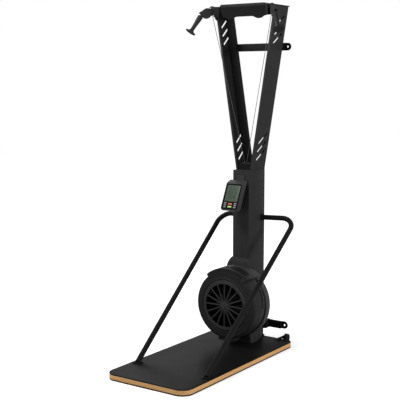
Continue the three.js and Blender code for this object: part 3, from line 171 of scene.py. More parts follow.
class StageSettings(bpy.types.PropertyGroup):
    lens: bpy.props.FloatProperty(name="Lens", description="Focal length in millimetres", default=81.505)
    yaw: angle("Camera yaw", "Turn of the camera about the vertical", 34.794)
    pitch: angle("Camera pitch", "Angle that the camera looks down", 7.225)
    world: share("World light", "Strength of the even light all round", 0.14)


GROUPS = {
    "trainer_finish": FinishSettings,
    "trainer_platform": PlatformSettings,
    "trainer_rail": RailSettings,
    "trainer_fan": FanSettings,
    "trainer_pull": PullSettings,
    "trainer_console": ConsoleSettings,
    "trainer_stage": StageSettings,
}


# Surfaces worked out with numpy

def unit(vector):
    vector = np.asarray(vector, float)
    return vector / np.linalg.norm(vector, axis=-1, keepdims=True)


def rounded(corners, radius, steps=4, closed=True):
    """Rounds each corner of a line. The arc touches both legs: its centre lies on the corner's
    bisector, r / sin(half the angle) away, and a point turns from the first radius vector a to the
    last b as (sin((1 - t) w) a + sin(t w) b) / sin(w), where w is the arc's angle."""
    corners = np.asarray(corners, float)
    before = np.roll(corners, 1, axis=0)
    after = np.roll(corners, -1, axis=0)
    towards, away = before - corners, after - corners
    leg = np.minimum(np.linalg.norm(towards, axis=1), np.linalg.norm(away, axis=1))
    towards, away = unit(towards), unit(away)
    half = np.arccos(np.clip((towards * away).sum(axis=1), -0.99999, 0.99999)) / 2
    reach = np.minimum(radius / np.tan(half), 0.48 * leg)
    fitted = reach * np.tan(half)
    centre = corners + unit(towards + away + 1e-12) * (fitted / np.sin(half))[:, None]
    first = corners + towards * reach[:, None] - centre
    last = corners + away * reach[:, None] - centre
    sweep = (np.pi - 2 * half)[:, None, None]
    t = np.linspace(0, 1, steps + 1)[None, :, None]
    arcs = (np.sin((1 - t) * sweep) * first[:, None] + np.sin(t * sweep) * last[:, None]) / np.sin(sweep)
    points = centre[:, None] + arcs
    if closed:
        return points.reshape(-1, corners.shape[1])
    inner = points[1:-1].reshape(-1, corners.shape[1])
    return np.vstack([corners[:1], inner, corners[-1:]])


def turned(profile, centre, axis, segments):
    """A profile of (radius r, height h) pairs turned about an axis: P = c + h a + r (u cos f + v sin f),
    where u and v are square to the axis a and f goes once round."""
    profile = np.asarray(profile, float)
    axis = unit(axis)
    across = unit(np.cross(axis, X_AXIS if abs(axis[0]) < 0.9 else Z_AXIS))
    third = np.cross(axis, across)
    turn = np.linspace(0, 2 * np.pi, segments, endpoint=False)[None, :, None]
    radius = profile[:, 0][:, None, None]
    height = profile[:, 1][:, None, None]
    return np.asarray(centre) + height * axis + radius * (np.cos(turn) * across + np.sin(turn) * third)


def swept(path, radius, reference, sides):
    """A round tube along a path: P = p(s) + r(s) (n cos f + b sin f), where n is square to the
    path's direction and to a reference vector, and b is square to both."""
    path = np.asarray(path, float)
    along = unit(np.gradient(path, axis=0))
    normal = unit(np.cross(reference, along))
    binormal = np.cross(along, normal)
    turn = np.linspace(0, 2 * np.pi, sides, endpoint=False)[None, :, None]
    radius = np.broadcast_to(np.asarray(radius, float), len(path))[:, None, None]
    return path[:, None] + radius * (np.cos(turn) * normal[:, None] + np.sin(turn) * binormal[:, None])


def joined(x, y, z):
    """Points from their three coordinates, broadcast to one shape."""
    return np.stack(np.broadcast_arrays(x, y, z), axis=-1)


def box_of(node):
    """A solid's lowest and highest corner."""
    return np.array(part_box(node), float)


def ring_outline(half_x, half_y, corner, inset=0, steps=8):
    """A rounded rectangle drawn inwards by an inset: each corner is a quarter circle of radius
    (corner - inset) about its own centre. The corner may be four radii, from +X +Y round."""
    corner = np.broadcast_to(np.minimum(corner, 0.999 * min(half_x, half_y)), 4)[:, None]
    turn = np.linspace(0, np.pi / 2, steps + 1) + np.arange(4)[:, None] * np.pi / 2
    centres = np.array([[1, 1], [-1, 1], [-1, -1], [1, -1]]) * (np.array([half_x, half_y]) - corner)
    arcs = np.stack([np.cos(turn), np.sin(turn)], axis=-1) * np.maximum(corner - inset, 1e-5)[..., None]
    return (centres[:, None] + arcs).reshape(-1, 2)


def plate(half_x, half_y, depth, corner, edge, steps=8):
    """A flat rounded rectangle with rounded edges: rings of the outline whose insets and heights
    follow a quarter circle of the edge's radius, up from the bottom and then up to the top."""
    turn = np.linspace(0, np.pi / 2, 5)
    insets, rises = edge * (1 - np.sin(turn)), edge * (1 - np.cos(turn))
    levels = [*zip(insets, rises), *zip(insets[::-1], depth - rises[::-1])]
    rings = [(ring_outline(half_x, half_y, corner, inset, steps), height) for inset, height in levels]
    return np.stack([joined(ring[:, 0], ring[:, 1], height) for ring, height in rings])


def slab(first, second, corner, edge, axis):
    """A box between two corners, as a plate whose depth runs along the given axis."""
    low, high = np.minimum(first, second), np.maximum(first, second)
    order = [(axis + 1) % 3, (axis + 2) % 3, axis]
    size, middle = (high - low)[order], ((high + low) / 2)[order]
    flat = plate(size[0] / 2, size[1] / 2, size[2], corner, edge) + [middle[0], middle[1], low[axis]]
    points = np.empty_like(flat)
    points[..., order] = flat
    return points


def strip(inner, outer, low, high):
    """A rectangular section of (radius, depth) pairs."""
    return [[inner, low], [outer, low], [outer, high], [inner, high]]


def carried(section, start, end, axis_z, steps=2):
    """A closed section of (radius r, depth y) pairs carried about the fan's axis from one angle to
    the other: P = (r cos f, y, z0 + r sin f)."""
    radius, depth = np.asarray(section, float).T
    turn = np.linspace(start, end, steps)[:, None]
    return joined(radius * np.cos(turn), depth, axis_z + radius * np.sin(turn))


class Loop:
    """A grid of points whose last row joins its first."""

    def __init__(self, grid):
        self.grid = grid


def lathed(section, radii, centre, axis, segments=96, steps=4):
    """A closed section with rounded corners, turned about an axis."""
    return Loop(turned(rounded(section, radii, steps), centre, axis, segments))


def mesh_of(name, sheets, crease):
    """One mesh from several grids, whose rows are closed rings. A Loop is closed the other way too,
    and any other grid is capped at both ends. Doubles are merged and faces turned outwards."""
    points, faces, first = [], [], 0
    for sheet in sheets:
        closed = isinstance(sheet, Loop)
        grid = sheet.grid if closed else sheet
        index = first + np.arange(grid[..., 0].size).reshape(grid.shape[:2])
        caps = [] if closed else [index[0].tolist(), index[-1][::-1].tolist()]
        if closed:
            index = np.vstack([index, index[:1]])
        index = np.hstack([index, index[:, :1]])
        quads = np.stack([index[:-1, :-1], index[:-1, 1:], index[1:, 1:], index[1:, :-1]], axis=-1)
        faces += quads.reshape(-1, 4).tolist() + caps
        points.append(grid.reshape(-1, 3))
        first += len(points[-1])
    mesh = bpy.data.meshes.new(name)
    mesh.from_pydata(np.vstack(points).tolist(), [], faces)
    shape = bmesh.new()
    shape.from_mesh(mesh)
    bmesh.ops.remove_doubles(shape, verts=shape.verts, dist=1e-6)
    bmesh.ops.dissolve_degenerate(shape, edges=shape.edges, dist=1e-7)
    bmesh.ops.recalc_face_normals(shape, faces=shape.faces)
    return written(shape, mesh, crease)


def written(shape, mesh, crease):
    """Puts a worked shape into its mesh, smooth but for its creases."""
    limit = math.radians(crease)
    for face in shape.faces:
        face.smooth = True
    for edge in shape.edges:
        edge.smooth = len(edge.link_faces) == 2 and edge.calc_face_angle() < limit
    shape.to_mesh(mesh)
    shape.free()
    return mesh


def added(name, data):
    """A new object in the scene."""
    made = bpy.data.objects.new(name, data)
    bpy.context.scene.collection.objects.link(made)
    return made


def piece(name, shape, body, finish, *nodes, slot=None, crease=35):
    """A finished piece from a mesh or a list of grids, with its finish's material. Its mesh lies
    where it belongs and its object sits at the origin. The slot argument is not used."""
    mesh = shape if isinstance(shape, bpy.types.Mesh) else mesh_of(name, shape, crease)
    material, usual_slot = FINISHES[finish]
    made = added(name, mesh)
    mesh.materials.append(material)
    if body:
        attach(made, body)
    if nodes:
        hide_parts(*nodes)
    return made


def refined(node, body, finish, edge, slot=None, crease=35):
    """A copy of a solid with its triangles merged, its flat faces made whole and its edges rounded."""
    name = f"{node}_skin"
    shape = bmesh.new()
    shape.from_mesh(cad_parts[node].data)
    bmesh.ops.remove_doubles(shape, verts=shape.verts, dist=2e-5)
    bmesh.ops.dissolve_limit(shape, angle_limit=math.radians(1.5), verts=shape.verts, edges=shape.edges)
    mesh = written(shape, bpy.data.meshes.new(name), crease)
    softened(piece(name, mesh, body, finish, node, slot=slot), edge, crease)


def softened(made, edge, crease=35):
    """Rounds the sharp edges of a piece."""
    bevel = made.modifiers.new("edge", "BEVEL")
    bevel.width = edge
    bevel.segments = 3
    bevel.limit_method = "ANGLE"
    bevel.angle_limit = math.radians(crease)
    bevel.harden_normals = True
    bevel.use_clamp_overlap = True


# Shader maths

class Signal:
    """A shader socket. Arithmetic on it adds Math nodes."""

    def __init__(self, nodes, socket):
        self.nodes = nodes
        self.socket = socket

    def maths(self, operation, *values):
        return self.nodes.node("ShaderNodeMath", {"operation": operation}, *values)

    def __add__(self, other):
        return self.maths("ADD", self, other)

    def __radd__(self, other):
        return self.maths("ADD", other, self)

    def __sub__(self, other):
        return self.maths("SUBTRACT", self, other)

    def __rsub__(self, other):
        return self.maths("SUBTRACT", other, self)

    def __mul__(self, other):
        return self.maths("MULTIPLY", self, other)

    def __rmul__(self, other):
        return self.maths("MULTIPLY", other, self)

    def __or__(self, other):
        return self.maths("MAXIMUM", self, other)

    def wave(self):
        return self.maths("SINE", self)


class Nodes:
    """The node tree of a material or a world."""

    def __init__(self, owner):
        owner.use_nodes = True
        self.tree = owner.node_tree

    def node(self, kind, settings, *values, output=0, **named):
        """Adds a node: its settings first, then its sockets by order or by name."""
        made = self.tree.nodes.new(kind)
        for key, value in settings.items():
            setattr(made, key, value)
        for index, value in enumerate(values):
            self.feed(made.inputs[index], value)
        for key, value in named.items():
            self.feed(made.inputs[key.replace("_", " ")], value)
        return Signal(self, made.outputs[output])

    def feed(self, socket, value):
        if isinstance(value, Signal):
            self.tree.links.new(value.socket, socket)
        else:
            socket.default_value = value


class Finish(Nodes):
    """A material under construction."""

    def __init__(self, name):
        self.material = bpy.data.materials.new(name)
        super().__init__(self.material)

    def place(self):
        return self.node("ShaderNodeTexCoord", {}, output="Object")

    def split(self, vector):
        made = self.node("ShaderNodeSeparateXYZ", {}, vector).socket.node
        return [Signal(self, output) for output in made.outputs]

    def noise(self, scale, detail=2.0, roughness=0.5, vector=None):
        return self.node("ShaderNodeTexNoise", {}, Vector=vector or self.place(), Scale=scale,
                         Detail=detail, Roughness=roughness, output="Fac")

    def cells(self, scale):
        return self.node("ShaderNodeTexVoronoi", {}, Vector=self.place(), Scale=scale, output="Distance")

    def stretched(self, x, y, z):
        return self.node("ShaderNodeMapping", {}, Vector=self.place(), Scale=(x, y, z))

    def mix(self, factor, first, second):
        made = self.node("ShaderNodeMix", {"data_type": "RGBA"}, factor, output=2)
        for index, value in ((6, first), (7, second)):
            self.feed(made.socket.node.inputs[index], value if isinstance(value, Signal) else (*value, 1))
        return made

    def tone(self, factor, base, low, high):
        """The base colour, from a darker to a lighter shade of it."""
        return self.mix(factor, shade(base, low), shade(base, high))

    def bump(self, height, strength, distance):
        return self.node("ShaderNodeBump", {}, Strength=strength, Distance=distance, Height=height)

    def set(self, **sockets):
        shader = self.tree.nodes["Principled BSDF"]
        for key, value in sockets.items():
            self.feed(shader.inputs[key.replace("_", " ")], value)
        return self.material


def shade(base, factor):
    return tuple(min(channel * factor, 1) for channel in base)


def powder_coat(name, base, gloss, level=0.05):
    """Powder coat: orange peel bumps about 1.5 mm apart, broad cloudy changes of tone and gloss."""
    finish = Finish(name)
    cloud = finish.noise(6.0, 3.0)
    peel = finish.noise(620.0)
    speck = finish.noise(1900.0, 1.0)
    return finish.set(Base_Color=finish.tone(cloud * 0.7 + speck * 0.3, base, 0.78, 1.28),
                      Roughness=gloss + cloud * 0.12, Specular_IOR_Level=level,
                      Normal=finish.bump(peel, 0.16, 0.0004))


def moulded_plastic(name, base, gloss, level=0.07):
    """Moulded plastic: a fine spark-eroded grain under a millimetre, with slightly shiny high spots."""
    finish = Finish(name)
    cloud = finish.noise(9.0)
    grain = finish.noise(1500.0, 2.0, 0.6)
    pits = finish.cells(1100.0)
    return finish.set(Base_Color=finish.tone(grain * 0.5 + cloud * 0.5, base, 0.82, 1.22),
                      Roughness=gloss + grain * 0.14, Specular_IOR_Level=level,
                      Normal=finish.bump(grain * 0.6 + pits * 0.4, 0.22, 0.0003))


def grip_rubber(name, base, pebble, level=0.1, gloss=0.7, relief=0.3):
    """Rubber with a pebbled grain: rounded cells of the given size, scuffed a little paler in patches."""
    finish = Finish(name)
    pebbles = 1 - finish.cells(1 / pebble)
    dust = finish.noise(14.0, 4.0, 0.6)
    speck = finish.noise(900.0)
    return finish.set(Base_Color=finish.tone(dust * 0.6 + speck * 0.4, base, 0.8, 1.5),
                      Roughness=gloss + dust * 0.12, Specular_IOR_Level=level,
                      Normal=finish.bump(pebbles + speck * 0.25, relief, 0.0005))


def plywood(name, pale, dark, layer):
    """The board's cut edge: pale and dark layers in turn up the edge, with long fine grain in each,
    under a thin clear lacquer."""
    finish = Finish(name)
    height = finish.split(finish.place())[2]
    wander = finish.noise(9.0)
    grain = finish.noise(1.0, 4.0, 0.62, finish.stretched(28.0, 28.0, 1900.0))
    band = (height * (math.pi / layer) + wander * 0.7).wave() * 0.5 + 0.5
    flecks = finish.noise(420.0)
    return finish.set(Base_Color=finish.mix(band * 0.42 + grain * 0.42 + flecks * 0.1, pale, dark),
                      Roughness=0.42 + grain * 0.2, Coat_Weight=0.12,
                      Normal=finish.bump(grain + band * 0.4, 0.14, 0.0003))


def plated_steel(name, base):
    """Zinc plated steel: fine brushed streaks and a faint mottling."""
    finish = Finish(name)
    streak = finish.noise(1.0, 3.0, 0.6, finish.stretched(300.0, 300.0, 2600.0))
    mottle = finish.noise(60.0, 3.0)
    return finish.set(Base_Color=finish.tone(mottle, base, 0.72, 1.15), Metallic=1.0,
                      Roughness=0.26 + streak * 0.18, Normal=finish.bump(streak, 0.08, 0.0002))


def braided_cord(name, base, strands):
    """Braid: two sets of strands cross at a slant, drawn from the tube's own coordinates, u round the
    cord and v along it in metres."""
    finish = Finish(name)
    u, v, _ = finish.split(finish.node("ShaderNodeUVMap", {"uv_map": "braid"}))
    round_cord, along_cord = u * (2 * math.pi * strands), v * 1400.0
    rising = (round_cord + along_cord).wave()
    falling = (round_cord - along_cord).wave()
    weave = rising * falling * 0.5 + 0.5
    fluff = finish.noise(1400.0)
    return finish.set(Base_Color=finish.tone(weave * 0.7 + fluff * 0.3, base, 0.6, 1.5), Roughness=0.82,
                      Normal=finish.bump(weave, 0.5, 0.0003))


def soft_key(name, base):
    """A moulded rubber key: even colour with a fine matt grain and slight fading across the cap."""
    finish = Finish(name)
    grain = finish.noise(2200.0)
    fade = finish.noise(40.0, 1.0)
    return finish.set(Base_Color=finish.tone(fade * 0.6 + grain * 0.4, base, 0.85, 1.12),
                      Roughness=0.42 + grain * 0.12, Normal=finish.bump(grain, 0.1, 0.0002))


def crystal_panel(name, base):
    """A liquid crystal panel: a fine grid of cells behind glass, with faint clouds."""
    finish = Finish(name)
    x, _, z = finish.split(finish.place())
    grid = (x * 4200.0).wave() * (z * 4200.0).wave() * 0.5 + 0.5
    cloud = finish.noise(24.0)
    return finish.set(Base_Color=finish.tone(grid * 0.25 + cloud * 0.6, base, 0.72, 1.3),
                      Roughness=0.4 + cloud * 0.08, Specular_IOR_Level=0.15)


FINISHES = {}


def make_finishes(settings):
    """Each finish by its short name, with the material slot it usually belongs to."""
    plastic, grey, rubber = settings.plastic, settings.plastic_grey, settings.rubber
    FINISHES.update({
        "coat": (powder_coat("powder coat", settings.coat, 0.42), "black_paint"),
        # A darker copy of the powder coat: painted shade on the wall bars, the plates and brackets inside the
        # frame, the wall behind the duct's net and the neck screws; the rails wear it too.
        "coat_dark": (powder_coat("powder coat with painted shade", settings.coat_dark, 0.46, 0.04), "dark_paint"),
        "plastic": (moulded_plastic("black moulded plastic", plastic, 0.42), "black_plastic"),
        "plastic_dark": (moulded_plastic("dark moulded plastic", shade(plastic, 0.5), 0.46), "black_plastic"),
        "plastic_grey": (moulded_plastic("grey moulded plastic", grey, 0.38), "grey_plastic"),
        # A lighter copy of the grey plastic: painted sheen on the back shell, where light falls on its top
        # and side.
        "plastic_back_painted_sheen": (moulded_plastic("back shell plastic with painted sheen", shade(grey, 1.4), 0.38), "grey_plastic"),
        "bezel": (moulded_plastic("console front", shade(plastic, 0.15), 0.3, 0.02), "black_plastic"),
        "mat": (grip_rubber("grip mat", shade(rubber, 0.7), 0.0018, 0.01, 0.34, 0.08), "rubber"),
        "rubber": (grip_rubber("rubber", rubber, 0.0026), "rubber"),
        "underlay": (grip_rubber("underlay rubber", shade(rubber, 0.3), 0.0026, 0.05), "rubber"),
        "plywood": (plywood("plywood edge", settings.ply_light, settings.ply_dark, 0.0019), "plywood"),
        "steel": (plated_steel("plated steel", settings.steel), "steel"),
        "steel_dark": (plated_steel("dark screws", shade(settings.steel, 0.05)), "steel"),
        "cord": (braided_cord("braided cord", settings.cord, 4), "cord"),
        "screen": (crystal_panel("liquid crystal", settings.screen), "screen"),
        "digits": (moulded_plastic("screen digits", shade(settings.screen, 0.1), 0.4), "screen"),
        "key_red": (soft_key("red key", settings.key_red), "red_key"),
        "key_green": (soft_key("green key", settings.key_green), "green_key"),
        "key_grey": (soft_key("grey key", settings.key_grey), "grey_key"),
    })


# Operators, one for each piece or group of like pieces

class Maker:
    """What the operators share: they run from the sidebar of the 3D view."""

    bl_options = {"REGISTER"}


class TRAINER_OT_stage(Maker, bpy.types.Operator):
    """Adds the camera, the lamps, the pale floor and the white surroundings"""

    bl_idname = "trainer.stage"
    bl_label = "Stage"

    def execute(self, context):
        stage = context.scene.trainer_stage
        context.scene.view_settings.view_transform = "Standard"
        context.scene.camera = self.camera(stage)
        context.scene.world = self.surroundings(stage)
        self.floor()
        self.lamp("key", (5.0, 0.2, 1.7), (0, 0, 1.1), 1.4, 165)
        self.lamp("front", (-1.8, -5.2, 1.6), (0, -0.3, 0.6), 2.2, 62)
        self.lamp("top", (-0.75, -1.7, 2.8), (0, 0, 1.9), 0.8, 60)
        self.lamp("rim", (-3.2, 2.6, 2.9), (0, 0, 1.0), 2.0, 60)
        return {"FINISHED"}

    def camera(self, stage):
        data = bpy.data.cameras.new("photograph")
        data.lens = stage.lens
        data.sensor_width = 36
        made = added("photograph", data)
        made.location = (3.17691, -5.14794, 1.7522)
        made.rotation_euler = (math.pi / 2 - stage.pitch, 0, stage.yaw)
        return made

    def surroundings(self, stage):
        """White where the camera, a gloss or a glass looks; an even dimmer light for the surfaces."""
        world = bpy.data.worlds.new("surroundings")
        sky = Nodes(world)
        camera, gloss, glass = (sky.node("ShaderNodeLightPath", {}, output=ray) for ray in
                                ("Is Camera Ray", "Is Glossy Ray", "Is Transmission Ray"))
        background = sky.tree.nodes["Background"]
        background.inputs["Color"].default_value = (1, 1, 1, 1)
        sky.feed(background.inputs["Strength"], (camera | gloss | glass) * (1 - stage.world) + stage.world)
        return world

    def floor(self):
        """A wide floor that keeps a soft shadow. To the camera it glows dimly under the machine and
        nearly white far from it, by the square of the distance."""
        half, near, far, dim, bright = 14.0, 0.5, 4.0, 0.56, 0.9
        mesh = bpy.data.meshes.new("floor")
        mesh.from_pydata([(-half, -half, 0), (half, -half, 0), (half, half, 0), (-half, half, 0)],
                         [], [(0, 1, 2, 3)])
        paint = Finish("floor paint")
        seen = paint.node("ShaderNodeLightPath", {}, output="Is Camera Ray")
        x, y, _ = paint.split(paint.place())
        spread = paint.node("ShaderNodeMapRange", {}, x * x + (y + 0.5) * (y + 0.5), near, far, dim, bright)
        glow = paint.mix(seen, (0, 0, 0), paint.node("ShaderNodeCombineColor", {}, spread, spread, spread))
        mesh.materials.append(paint.set(Base_Color=(0.8, 0.8, 0.8, 1), Roughness=0.9, Emission_Color=glow,
                                        Emission_Strength=1.0))
        made = added("floor", mesh)
        made.location.z = -0.0005

    def lamp(self, name, place, aim, size, power):
        data = bpy.data.lights.new(name, "AREA")
        data.size = size
        data.energy = power
        made = added(name, data)
        made.location = place
        made.rotation_euler = (Vector(aim) - Vector(place)).to_track_quat("-Z", "Y").to_euler()


class TRAINER_OT_platform(Maker, bpy.types.Operator):
    """Makes the underlay, the plywood board and the grip mat"""

    bl_idname = "trainer.platform"
    bl_label = "Platform"

    def execute(self, context):
        settings = context.scene.trainer_platform
        corners = np.repeat([settings.rear_corner, settings.front_corner], 2)
        for node, finish in (("base_underlay", "underlay"), ("base_board", "plywood"), ("base_mat", "mat")):
            low, high = box_of(node)
            size, middle = high - low, (high + low) / 2
            grid = plate(size[0] / 2, size[1] / 2, size[2], corners, settings.edge, 16)
            piece(f"{node}_skin", [grid + [0, middle[1], low[2]]], "frame", finish, node)
        return {"FINISHED"}


class TRAINER_OT_frame(Maker, bpy.types.Operator):
    """Rounds the edges of the folded and welded steel: column, arms, plates and brackets, and the axle
    bearings
    """

    bl_idname = "trainer.frame"
    bl_label = "Steel frame"

    def execute(self, context):
        edges = {
            "coat": {"column": 0.0008, "column_top_plate": 0.0008, "left_arm": 0.0012, "right_arm": 0.0012},
            # The dark coat on these plates and brackets is painted shade, for the shade inside and under the
            # frame.
            "coat_dark": {"column_foot_plate": 0.0008, "head_rear_panel": 0.0006, "guide_bracket": 0.0005,
                          "left_wheel_bracket": 0.0008, "right_wheel_bracket": 0.0008},
            "steel": {"front_axle_bearing": 0.0005, "rear_axle_bearing": 0.0005},
        }
        for finish, nodes in edges.items():
            for node, edge in nodes.items():
                refined(node, "frame", finish, edge)
        return {"FINISHED"}


class TRAINER_OT_bars(Maker, bpy.types.Operator):
    """Folds the two wall bars, with their drilled round ends and the lower bar's sleeves"""

    bl_idname = "trainer.bars"
    bl_label = "Wall bars"

    def execute(self, context):
        for node in ("upper_wall_bar", "lower_wall_bar"):
            low, high = box_of(node)
            back, middle = high[1], (high[2] + low[2]) / 2
            sheets = self.channel(back, middle) + [self.tab(side, back, middle) for _, side in SIDES]
            if node == "lower_wall_bar":
                inner, outer, half = 0.0645, 0.103, 0.029
                sheets += [slab((side * inner, low[1], middle - half),
                                (side * outer, back - 0.0005, middle + half), 0.003, 0.0012, 1)
                           for _, side in SIDES]
            # The wall bars wear the dark coat as painted shade, for the shade they sit in behind the arms.
            piece(f"{node}_skin", sheets, "frame", "coat_dark", node)
        return {"FINISHED"}

    def channel(self, back, middle):
        """A folded channel that opens towards the wall, closed by a plate at each end."""
        front, half, wall, reach = back - 0.020, 0.025, 0.003, 0.196
        section = [[front, -half], [back, -half], [back, wall - half], [front + wall, wall - half],
                   [front + wall, half - wall], [back, half - wall], [back, half], [front, half]]
        y, z = rounded(section, np.array([0.0024, *[0.0004] * 6, 0.0024])).T
        ends = [slab((side * reach, front, middle - half), (side * (reach - wall), back, middle + half),
                     0.002, 0.0006, 0) for _, side in SIDES]
        return [joined(np.array([[wall / 2 - reach], [reach - wall / 2]]), y, middle + z)] + ends

    def tab(self, side, back, middle):
        """A flat round end with a hole: rings drawn about the hole, out to the half circle of the end,
        d = sqrt(R^2 - (e sin f)^2) - e cos f, or to the straight sides."""
        hole, radius, off, straight, edge, place = 0.007, 0.025, 0.001, 0.029, 0.0006, 0.219
        turn = np.linspace(0, 2 * np.pi, 80, endpoint=False)
        across, up = np.cos(turn), np.sin(turn)
        round_end = np.sqrt(radius ** 2 - (off * up) ** 2) - off * across
        flat_end = np.minimum(straight / np.maximum(-across, 1e-9), radius / np.maximum(np.abs(up), 1e-9))
        reach = np.where(off + round_end * across >= 0, round_end, flat_end)
        front = back - 0.006
        rings = [(reach, front + edge), (reach - edge, front), (hole + edge, front), (hole, front + edge),
                 (hole, back - edge), (hole + edge, back), (reach - edge, back), (reach, back - edge)]
        return Loop(np.stack([joined(side * (place + out * across), y, middle + out * up)
                              for out, y in rings]))


class TRAINER_OT_covers(Maker, bpy.types.Operator):
    """Rounds the moulded covers: head, fascia, neck and pedestal"""

    bl_idname = "trainer.covers"
    bl_label = "Covers"

    def execute(self, context):
        refined("head_top_cover", "frame", "plastic_dark", 0.0014)
        refined("head_fascia", "frame", "plastic_dark", 0.0016)
        refined("pedestal_cover", "frame", "plastic", 0.0025, crease=25)
        refined("neck_cover", "frame", "plastic", 0.004, "grey_plastic", 25)
        screw = [[0, 0.0022], [0.0044, 0.0016], [0.0044, -0.0006], [0, -0.0006]]
        face = (0, -2, 1)
        screws = [lathed(screw, 0.0008, (side * 0.054, -0.1264, 0.582), face, 24) for _, side in SIDES]
        # The screws wear the dark coat as painted shade, standing in for the shade in their recesses.
        piece("neck_cover_screws", screws, "frame", "coat_dark")
        return {"FINISHED"}


class TRAINER_OT_rails(Maker, bpy.types.Operator):
    """Sweeps the two hand rails and makes their foot plates, welds and collars"""

    bl_idname = "trainer.rails"
    bl_label = "Hand rails"

    def execute(self, context):
        rail = context.scene.trainer_rail
        deck, column = box_of("base_mat")[1][2], box_of("column")[1][0]
        for word, side in SIDES:
            tube = self.tube(rail, side, deck, column + 0.0006)
            piece(f"{word}_rail_tube", [tube], "frame", "coat_dark", f"{word}_rail", crease=50)
            fittings = self.fittings(rail, side, deck, column)
            piece(f"{word}_rail_fittings", fittings, "frame", "coat_dark")
        return {"FINISHED"}

    def line_y(self, rail, x):
        """Where the tube's straight upper leg stands at a distance x from the middle."""
        return rail.end_y - (rail.end_y - rail.corner_y) * x / rail.corner_x

    def tube(self, rail, side, deck, start):
        """A round tube swept up its straight leg, round an arc of the bend's radius and in to the
        column. The reference is square to both legs."""
        foot = np.array([side * rail.foot_x, rail.foot_y, deck + 0.004])
        corner = np.array([side * rail.corner_x, rail.corner_y, rail.corner_z])
        end = np.array([side * start, self.line_y(rail, start), rail.corner_z])
        path = rounded([foot, corner, end], rail.bend, 20, closed=False)
        return swept(path, rail.radius, unit(np.cross(corner - foot, end - corner)), 32)

    def fittings(self, rail, side, deck, column):
        """Foot plate, collar and a bead round the foot, stretched as the slanted tube's section is."""
        x, y, tube = side * rail.foot_x, rail.foot_y, rail.radius
        base = plate(0.025, 0.029, 0.005, 0.014, 0.0009) + [x, y, deck + 0.0003]
        collar = lathed(strip(0, 0.025, 0, 0.005), 0.0012,
                        (side * (column + 0.0003), self.line_y(rail, column), rail.corner_z),
                        side * X_AXIS, 64)
        weld = [[tube - 0.001, 0], [tube + 0.0025, 0], [tube + 0.001, 0.0025], [tube - 0.001, 0.0035]]
        bead = lathed(weld, 0.0008, (x, y, deck + 0.0052), Z_AXIS, 64)
        rise = rail.corner_z - deck
        bead.grid[..., 1] = y + (bead.grid[..., 1] - y) * math.hypot(rail.corner_y - y, rise) / rise
        return [base, collar, bead]


